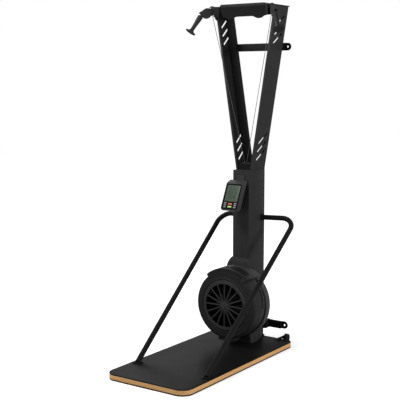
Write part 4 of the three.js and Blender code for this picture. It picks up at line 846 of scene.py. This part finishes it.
class TRAINER_OT_housing(Maker, bpy.types.Operator):
    """Turns the fan's front and back shells and makes the air duct on top with its net"""

    bl_idname = "trainer.housing"
    bl_label = "Fan housing"

    def execute(self, context):
        fan = context.scene.trainer_fan
        front = piece("fan_front_skin", self.front(fan), "frame", "plastic", "fan_front_shell", crease=30)
        duct = piece("fan_duct_front", self.duct_front(fan), "frame", "plastic")
        # The back shell wears the lighter grey, a painted sheen.
        back = piece("fan_back_skin", self.back(fan), "frame", "plastic_back_painted_sheen", "fan_back_shell", crease=30)
        rear = piece("fan_duct_rear", self.duct_rear(fan), "frame", "plastic_grey")
        for made, edge in ((front, 0.0006), (duct, 0.0010), (back, 0.0006), (rear, 0.0014)):
            softened(made, edge)
        # The rings are black plastic but wear the lighter grey: a painted highlight along the ring and bead
        # round the opening.
        piece("fan_face_rings_painted_highlight", self.rings(fan), "frame", "plastic_grey", slot="black_plastic")
        # A thin sheet of dark coat over the black shell: painted shade behind the net.
        piece("fan_duct_painted_shade", self.painted_shade_sheet(fan), "frame", "coat_dark", slot="black_plastic")
        # The net is black plastic but wears the lighter grey: a painted highlight where its ribs catch light.
        piece("fan_duct_slope_painted_highlight", self.slope(fan), "frame", "plastic_grey", slot="black_plastic")
        refined("damper_shutter", "damper", "plastic_grey", 0.0012)
        piece("fan_outlet_net", self.outlet(fan), "frame", "plastic", "fan_outlet_grating")
        return {"FINISHED"}

    def front(self, fan):
        """The front shell's section turned about the axis, and the block under it."""
        outer, inner, lip, foot = fan.outer, fan.outer - FAN_WALL, fan.lip, fan.axis_z - fan.outer
        section = [[lip, -0.2960], [0.1600, -0.2960], [0.1660, -0.2892], [0.1740, -0.2892],
                   [0.1770, FAN_FACE], [outer, FAN_FACE], [outer, FAN_SPLIT], [inner, FAN_SPLIT],
                   [inner, -0.283], [lip, -0.283]]
        bends = np.array([0.0012, 0.0016, 0.0014, 0.0006, 0.0007, 0.020, 0.0005, 0.0005, 0.016, 0.0005])
        return [lathed(section, bends, (0, 0, fan.axis_z), Y_AXIS, 160, 8),
                slab((-0.060, -0.276, foot - 0.014), (0.060, -0.200, foot + 0.020), 0.010, 0.003, 1)]

    def rings(self, fan):
        """The ring round the opening and the thin bead outside it, laid on the face."""
        inner = fan.lip + 0.0002
        ring = [[inner, -0.2985], [0.1615, -0.2985], [0.1650, -0.2915], [0.1650, -0.2900], [inner, -0.2900]]
        bead = [[0.1768, -0.2925], [0.1800, -0.2925], [0.1814, -0.2864], [0.1756, -0.2864]]
        return [lathed(section, np.array(bends), (0, 0, fan.axis_z), Y_AXIS, 160, 6) for section, bends in
                ((ring, [0.0012, 0.0018, 0.001, 0.0004, 0.0004]), (bead, [0.0012, 0.0012, 0.0002, 0.0002]))]

    def duct_front(self, fan):
        """Solid ends, and between them a thin wall with the window left open."""
        hood, under = fan.hood, fan.hood - FAN_WALL
        block = rounded([[0.204, -0.2866], [0.207, -0.2902], [hood - 0.007, -0.2832], [hood, -0.2740],
                         [hood, FAN_SPLIT], [0.222, FAN_SPLIT], [0.222, -0.262], [0.204, -0.281]], 0.0030)
        curb = [[0.2045, -0.2866], [0.2062, -0.2902], [0.2092, -0.2898], [0.2092, -0.2830], [0.2045, -0.2830]]
        brow = [[hood - 0.0070, -0.2832], [hood, -0.2740], [hood, -0.263], [under, -0.263],
                [under, -0.2725], [hood - 0.0090, -0.2790]]
        sill = [[hood, -0.200], [hood, FAN_SPLIT], [under, FAN_SPLIT], [under, -0.200]]
        ends = [carried(block, fan.hood_start, fan.window_start, fan.axis_z, 14),
                carried(block, fan.window_end, fan.hood_end, fan.axis_z, 4)]
        return ends + [self.over_window(fan, rounded(section, 0.0004)) for section in (curb, brow, sill)]

    def over_window(self, fan, section, steps=72):
        """A section carried about the axis from one end of the window to the other."""
        return carried(section, fan.window_start, fan.window_end, fan.axis_z, steps)

    def painted_shade_sheet(self, fan):
        """Painted shade behind the net's front slope: a thin dark sheet laid over the shell's rounded edge,
        where there is only shade.
        """
        top = np.array([[0.2085, -0.2878], [0.2140, -0.2867], [0.2195, -0.2842], [0.2240, -0.2800],
                        [0.2275, -0.2745], [0.2300, -0.2690], [fan.hood - FAN_WALL, -0.2690]])
        section = np.vstack([top, (top + [0, 0.0008])[::-1]])
        return [self.over_window(fan, section)]

    def slope(self, fan):
        """The net on the duct's front: straight ribs from the curb out to the brow, and hoops across
        them, on the cone y = y0 + (r - r0) k."""
        inner, outer, lean, margin = 0.2085, fan.hood - 0.0080, 0.225, 0.016
        turn = np.linspace(fan.window_start + margin, fan.window_end - margin, fan.slope_ribs)
        turn = turn[:, None, None]
        reach = np.array([[inner], [outer]])
        across = np.array([-0.0009, 0.0009, 0.0009, -0.0009])
        deep = np.array([0, 0, 0.0018, 0.0018])
        sheets = [*joined(reach * np.cos(turn) - across * np.sin(turn),
                          -0.2894 + (reach - inner) * lean + deep,
                          fan.axis_z + reach * np.sin(turn) + across * np.cos(turn))]
        for middle in np.linspace(inner, outer, fan.slope_hoops + 2)[1:-1]:
            front = -0.2890 + (middle - inner) * lean
            section = strip(middle - 0.0008, middle + 0.0008, front, front + 0.0016)
            sheets.append(self.over_window(fan, section, 61))
        return sheets

    def back(self, fan):
        """The back shell's bowl, and a band with a gap for the lever and one under the duct."""
        outer, band, floor, bore, rim = fan.back, fan.band, FAN_REAR - FAN_WALL, 0.013, -0.151
        bowl = [[bore, FAN_REAR], [outer, FAN_REAR], [outer, rim], [band - FAN_WALL, rim],
                [band - FAN_WALL, -0.147], [outer - FAN_WALL, -0.142], [outer - FAN_WALL, floor],
                [bore, floor]]
        bends = np.array([0.0005, 0.0075, 0.0065, 0.0005, 0.0005, 0.004, 0.004, 0.0005])
        whole = ((FAN_SEAM, -0.150),)
        spans = ((-5, 31, ((FAN_SEAM, -0.1778), (-0.1662, -0.150))), (31, 53, whole),
                 (53, 127, ((FAN_SEAM, -0.1857), (-0.155, -0.150))), (127, 355, whole))
        return [lathed(bowl, bends, (0, 0, fan.axis_z), Y_AXIS, 160, 6)] + [
            carried(strip(band - FAN_WALL, band, low, high), math.radians(start), math.radians(end),
                    fan.axis_z, (end - start) // 2)
            for start, end, strips in spans for low, high in strips]

    def duct_rear(self, fan):
        """A rectangle of radius and depth with rounded corners, carried over the hood's angle."""
        bends = np.array([0.0004, 0.0008, 0.009, 0.0004])
        section = rounded(strip(0.219, fan.hood, FAN_SEAM, FAN_REAR), bends, 6)
        return [carried(section, fan.hood_start, fan.hood_end, fan.axis_z, 90)]

    def outlet(self, fan):
        """The window's net: ribs across it and thin hoops along it."""
        low, high = box_of("fan_outlet_grating")[:, 1]
        hood, z, half, bar = fan.hood, fan.axis_z, 0.0040, 0.0019
        start, end = fan.window_start + 0.0012, fan.window_end - 0.0012
        rib = strip(hood - 0.0034, hood - 0.0008, low + 0.0004, high - 0.0004)
        return [carried(rib, turn - half, turn + half, z)
                for turn in np.linspace(start + half, end - half, fan.ribs)] + [
            carried(strip(hood - 0.0030, hood - 0.0004, y, y + bar), start, end, z, 61)
            for y in np.linspace(low, high - bar, fan.hoops)]


class TRAINER_OT_grille(Maker, bpy.types.Operator):
    """Makes the front grille: a round rim, a hub and tapering spokes"""

    bl_idname = "trainer.grille"
    bl_label = "Grille"

    def execute(self, context):
        fan = context.scene.trainer_fan
        hub, front = fan.hub, box_of("fan_grille")[0][1]
        face, centre = front + 0.002, (0, 0, fan.axis_z)
        rim = strip(fan.rim, fan.lip - 0.0005, face, face + 0.008)
        boss = [[0, front], [hub * 0.72, front], [hub, face + 0.001], [hub, face + 0.009], [0, face + 0.009]]
        groove = [[hub * 0.46, front + 0.0004], [hub * 0.5, front - 0.0001], [hub * 0.54, front + 0.0004]]
        sheets = [lathed(rim, 0.0022, centre, Y_AXIS, 128), lathed(boss, 0.0016, centre, Y_AXIS, 64),
                  lathed(groove, 0.0002, centre, Y_AXIS, 64), *self.spokes(fan, face)]
        piece("grille_skin", sheets, "frame", "plastic_grey", "fan_grille")
        return {"FINISHED"}

    def spokes(self, fan, face):
        """A spoke's section is a superellipse, (|cos f|^0.6, |sin f|^0.6) with its signs, whose width
        narrows by a fifth from the hub to the rim."""
        power, depth, root, narrowing, steps = 0.6, 0.0030, 1.08, 0.2, 12
        run = np.linspace(fan.hub * 0.9, fan.rim + 0.003, steps)[:, None]
        turn = np.linspace(0, 2 * np.pi, 16, endpoint=False)
        across, deep = (np.sign(wave) * np.abs(wave) ** power for wave in (np.cos(turn), np.sin(turn)))
        width = fan.spoke / 2 * (root - narrowing * np.linspace(0, 1, steps)[:, None]) * across
        return spun(run, width, face + 0.0035 + depth * deep, fan.spokes, fan.axis_z)


def spun(x, z, y, copies, axis_z):
    """Copies of a grid set evenly round the fan's axis: (x cos s - z sin s, y, z0 + x sin s + z cos s)."""
    spin = np.linspace(0, 2 * np.pi, copies, endpoint=False)[:, None, None]
    return joined(x * np.cos(spin) - z * np.sin(spin), y, axis_z + x * np.sin(spin) + z * np.cos(spin))


class TRAINER_OT_impeller(Maker, bpy.types.Operator):
    """Makes the impeller with its curved blades, the axle and the cord drums"""

    bl_idname = "trainer.impeller"
    bl_label = "Impeller and drive"

    def execute(self, context):
        fan = context.scene.trainer_fan
        low, high = box_of("fan_impeller")
        radius, back, front, bore, boss = high[2] - fan.axis_z, high[1], -0.262, 0.0086, 0.030
        centre = (0, 0, fan.axis_z)
        disc = [[bore, back], [radius, back], [radius, back - 0.0035], [boss, back - 0.0035],
                [boss, low[1]], [bore, low[1]]]
        sheets = [lathed(disc, 0.0015, centre, Y_AXIS),
                  lathed(strip(radius - 0.022, radius, front, front + 0.004), 0.0012, centre, Y_AXIS),
                  *self.blades(fan, radius - 0.0025, back - 0.003, front + 0.001)]
        piece("impeller_skin", sheets, "fan", "plastic", "fan_impeller")
        refined("fan_axle", "fan", "steel", 0.0006)
        for word, _ in SIDES:
            refined(f"{word}_cord_drum", f"{word}_cord_drum", "plastic_grey", 0.0006)
        return {"FINISHED"}

    def blades(self, fan, radius, back, front):
        """A blade follows r = r0 + (r1 - r0) t and f = sweep t^1.4 round the axis, and is as thick as
        its four-cornered section."""
        root, power, half, thick, taper = 0.062, 1.4, 0.0012, 1.1, 0.4
        t = np.linspace(0, 1, 12)
        run = root + (radius - root) * t
        lean = fan.sweep * t ** power
        line = np.stack([run * np.cos(lean), run * np.sin(lean)], axis=1)
        normal = unit(np.gradient(line, axis=0))[:, ::-1] * [-1, 1]
        offset = normal * half * (thick - taper * t)[:, None]
        corners = np.stack([line - offset, line + offset, line + offset, line - offset], axis=1)
        return spun(corners[..., 0], corners[..., 1], np.array([front, front, back, back]),
                    fan.blades, fan.axis_z)


class TRAINER_OT_cords(Maker, bpy.types.Operator):
    """Sweeps the two drive cords, their leads to the handles and the guide pulleys"""

    bl_idname = "trainer.cords"
    bl_label = "Cords"

    def execute(self, context):
        pull = context.scene.trainer_pull
        hidden, inserted, swell = 0.024, 0.0035, 1.05
        for word, side in SIDES:
            run, lead = f"{word}_cord_run", f"{word}_cord_lead"
            path = rounded(self.route(pull, side), 0.004, closed=False)
            piece(run, self.cord(run, path, pull.cord), "frame", "cord", f"{word}_cord")
            refined(f"{word}_guide_pulley", f"{word}_guide_pulley", "plastic_grey", 0.0004)
            seat, direction = handle_line(pull, side)
            start, end = seat - direction * hidden, seat + direction * inserted
            path = start + (end - start) * np.linspace(0, 1, 40)[:, None]
            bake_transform(piece(lead, self.cord(lead, path, pull.cord * swell), None, "cord"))
        return {"FINISHED"}

    def route(self, pull, side):
        """From the swivel axis past the guide pulley and down inside the column to the drum."""
        guide_x, guide_y, guide_z, offset, top, drum = 0.020, -0.040, 1.224, 0.017, 2.218, 0.322
        lean = math.atan2(pull.pivot_x - guide_x + offset, top - guide_z)
        return [[side * pull.pivot_x, pull.pivot_y, top],
                [side * (guide_x - offset * math.cos(lean)), guide_y, guide_z + offset * math.sin(lean)],
                [side * (guide_x - offset), guide_y, guide_z - pull.cord],
                [0.0248, -0.058 if side > 0 else -0.020, drum]]

    def cord(self, name, path, radius):
        """A tube of ten sides with a braid map: u is the angle round the line from the cord's start to
        its end, and v the height along that line."""
        mesh = mesh_of(name, [swept(path, radius, Y_AXIS, 10)], 60)
        corners = np.zeros(len(mesh.loops), int)
        mesh.loops.foreach_get("vertex_index", corners)
        points = np.zeros(len(mesh.vertices) * 3)
        mesh.vertices.foreach_get("co", points)
        line = unit(path[-1] - path[0])
        side = unit(np.cross(line, X_AXIS))
        out = points.reshape(-1, 3) - path[0]
        along = out @ line
        out = out - np.outer(along, line)
        turn = np.arctan2(out @ np.cross(line, side), out @ side) / (2 * np.pi)
        layer = mesh.uv_layers.new(name="braid")
        layer.data.foreach_set("uv", np.stack([turn, along], axis=1)[corners].ravel())
        return mesh


def handle_line(pull, side):
    """The handle's seat and its own direction, in the frame."""
    yaw = pull.right_yaw if side > 0 else pull.left_yaw
    outward = np.array([side * math.cos(yaw), -math.sin(yaw), 0])
    seat = np.array([side * pull.pivot_x, pull.pivot_y, pull.seat_z]) + outward * pull.seat_s
    return seat, unit(outward * 0.563 - Z_AXIS * 0.826)


class TRAINER_OT_pods(Maker, bpy.types.Operator):
    """Rounds the swivelling pulley pods, with their pulleys and pins"""

    bl_idname = "trainer.pods"
    bl_label = "Pods"

    def execute(self, context):
        for word, _ in SIDES:
            refined(f"{word}_pod", f"{word}_pod", "coat", 0.0014, crease=30)
            refined(f"{word}_pod_pin", f"{word}_pod", "steel_dark", 0.0006)
            refined(f"{word}_pod_pulley", f"{word}_pod_pulley", "plastic_grey", 0.0004)
        return {"FINISHED"}


class TRAINER_OT_handles(Maker, bpy.types.Operator):
    """Turns the two flared pull handles and their ferrules"""

    bl_idname = "trainer.handles"
    bl_label = "Handles"

    def execute(self, context):
        pull = context.scene.trainer_pull
        ferrule = [[0.0022, 0.0036], [0.0075, 0.0036], [0.012, 0.006], [0.012, 0.009], [0.0022, 0.009]]
        for word, side in SIDES:
            node = f"{word}_handle"
            seat, direction = handle_line(pull, side)
            grip = Loop(turned(self.profile(), seat, direction, 64))
            # The handles are grey plastic but wear the black plastic: painted shade that makes them read
            # nearly black.
            piece(f"{node}_skin", [grip], node, "plastic", node, slot="grey_plastic", crease=40)
            piece(f"{word}_ferrule", [lathed(ferrule, 0.0008, seat, direction, 40)], node, "steel_dark",
                  f"{node}_ferrule")
        return {"FINISHED"}

    def profile(self):
        """The grip tapers from its collar to its neck along a cosine, and then opens into the flare as
        a quarter of an ellipse."""
        collar, neck, start, end, flare_edge = 0.018, 0.0126, 0.0124, 0.108, 0.0356
        t = np.linspace(0, 1, 32)
        grip = np.stack([collar + (neck - collar) * (1 - np.cos(np.pi * t)) / 2,
                         start + (end - start) * t], axis=1)
        f = np.linspace(0, np.pi / 2, 16)[1:]
        flare = np.stack([flare_edge - 0.023 * np.cos(f), end + 0.0235 * np.sin(f)], axis=1)
        rim = rounded([[flare_edge, 0.1318], [0.036, 0.1335], [0.0345, 0.1364], [0.022, 0.1352],
                       [0.012, 0.1340], [0, 0.1339]], 0.0012, closed=False)
        top = rounded([[0, 0.0094], [0.0165, 0.0094], [collar, start]], 0.0015, closed=False)
        return np.vstack([top, grip[1:], flare, rim])


class TRAINER_OT_console(Maker, bpy.types.Operator):
    """Rounds the console's case and adds its glossy front, the screen with its digits and the bracket"""

    bl_idname = "trainer.console"
    bl_label = "Console"

    def execute(self, context):
        console = context.scene.trainer_console
        refined("console_body", "console", "plastic_grey", 0.0022, crease=32)
        refined("console_bracket", "frame", "plastic_grey", 0.0012)
        wide, tall, corner, raised = 0.0494, 0.0554, 0.003, 0.021
        outer = ring_outline(0.0615, 0.0875, 0.009)
        inner = ring_outline(wide, tall, corner) + [0, raised]
        levels = [(outer, 0.0002), (outer * 0.998, -0.00015), (inner, -0.00015), (inner, 0.0002)]
        bezel = np.stack([on_console(console, *line.T, deep) for line, deep in levels])
        piece("console_bezel", [Loop(bezel)], "console", "bezel")
        low = plate(wide, tall, 0.0023, corner, 0.0005)
        glass = on_console(console, low[..., 0], low[..., 1] + raised, 0.0027 - low[..., 2])
        piece("console_glass", [glass], "console", "screen", "console_screen")
        piece("console_digits", self.digits(console), "console", "digits")
        return {"FINISHED"}

    def digits(self, console):
        """Plain noughts: each of a nought's six bars is a long flat hexagon on the glass."""
        flat = ((0, 1), (0, -1))
        upright = ((-0.5, 0.5), (0.5, 0.5), (-0.5, -0.5), (0.5, -0.5))
        sheets = []
        for height, size, figures in ((0.054, 0.0125, 3), (0.023, 0.0105, 4), (-0.004, 0.0105, 3)):
            reach, half, pitch = size * 0.46, size * 0.13, 1.75
            bar = np.array([[-reach, 0], [half - reach, half], [reach - half, half], [reach, 0],
                            [reach - half, -half], [half - reach, -half]])
            bars = [bar + np.array(spot) * size for spot in flat]
            bars += [bar[:, ::-1] + np.array(spot) * size for spot in upright]
            for place in range(figures):
                middle = (place - (figures - 1) / 2) * size * pitch
                sheets += [np.stack([on_console(console, ring[:, 0] + middle, ring[:, 1] + height, deep)
                                     for deep in (0.0001, 0.0006)]) for ring in bars]
        return sheets


def on_console(console, x, up, deep):
    """A point of the console's own face: x across, up along the face, deep behind it."""
    lean = console.lean
    return joined(x, console.face_y + deep * math.cos(lean) + up * math.sin(lean),
                  console.face_z - deep * math.sin(lean) + up * math.cos(lean))


class TRAINER_OT_keys(Maker, bpy.types.Operator):
    """Makes the stop and start keys and the six small keys as domed caps"""

    bl_idname = "trainer.keys"
    bl_label = "Keys"

    def execute(self, context):
        console = context.scene.trainer_console
        large, small, first, pitch = (0.015, 0.0055), (0.0095, 0.004), -0.047, 0.0135
        keys = [("stop_key", 0, -0.052, large, "key_red"), ("start_key", 0, -0.071, large, "key_green")]
        keys += [(f"{word}_key_{row + 1}", side * 0.038, first - pitch * row, small, "key_grey")
                 for word, side in SIDES for row in range(3)]
        for node, x, up, half, finish in keys:
            cap = plate(*half, 0.0052, 0.0021, 0.0009)
            grid = on_console(console, x + cap[..., 0], up + cap[..., 1], 0.004 - cap[..., 2])
            piece(f"{node}_cap", [grid], node, finish, node)
        return {"FINISHED"}


class TRAINER_OT_wheels(Maker, bpy.types.Operator):
    """Turns the two transport wheels"""

    bl_idname = "trainer.wheels"
    bl_label = "Wheels"

    def execute(self, context):
        for word, _ in SIDES:
            node = f"{word}_wheel"
            low, high = box_of(node)
            half, _, radius = (high - low) / 2
            near = np.array([[0.0054, 0], [0.012, 0], [0.0135, 0.0015], [radius - 0.006, 0.0015],
                             [radius - 0.003, 0], [radius, 0.003]]) - [0, half]
            tread = np.vstack([near, near[::-1] * [1, -1]])
            wheel = lathed(tread, 0.001, (low + high) / 2, X_AXIS, 64)
            piece(f"{node}_skin", [wheel], node, "rubber", node)
        return {"FINISHED"}


OPERATORS = (
    TRAINER_OT_stage, TRAINER_OT_cords, TRAINER_OT_platform, TRAINER_OT_frame, TRAINER_OT_bars,
    TRAINER_OT_covers, TRAINER_OT_rails, TRAINER_OT_housing, TRAINER_OT_grille, TRAINER_OT_impeller,
    TRAINER_OT_pods, TRAINER_OT_handles, TRAINER_OT_console, TRAINER_OT_keys, TRAINER_OT_wheels,
)


class TRAINER_PT_panel(bpy.types.Panel):
    """Lists the operators in the sidebar"""

    bl_idname = "TRAINER_PT_panel"
    bl_label = "Ski Trainer"
    bl_space_type = "VIEW_3D"
    bl_region_type = "UI"
    bl_category = "Ski Trainer"

    def draw(self, context):
        for operator in OPERATORS:
            self.layout.operator(operator.bl_idname)


def register():
    for settings in GROUPS.values():
        bpy.utils.register_class(settings)
    for name, settings in GROUPS.items():
        setattr(bpy.types.Scene, name, bpy.props.PointerProperty(type=settings))
    for made in (*OPERATORS, TRAINER_PT_panel):
        bpy.utils.register_class(made)


def unregister():
    for made in reversed((*OPERATORS, TRAINER_PT_panel)):
        bpy.utils.unregister_class(made)
    for name, settings in reversed(GROUPS.items()):
        delattr(bpy.types.Scene, name)
        bpy.utils.unregister_class(settings)


def main():
    register()
    make_finishes(bpy.context.scene.trainer_finish)
    for operator in OPERATORS:
        group, name = operator.bl_idname.split(".")
        getattr(getattr(bpy.ops, group), name)()


if __name__ == "__main__":
    main()
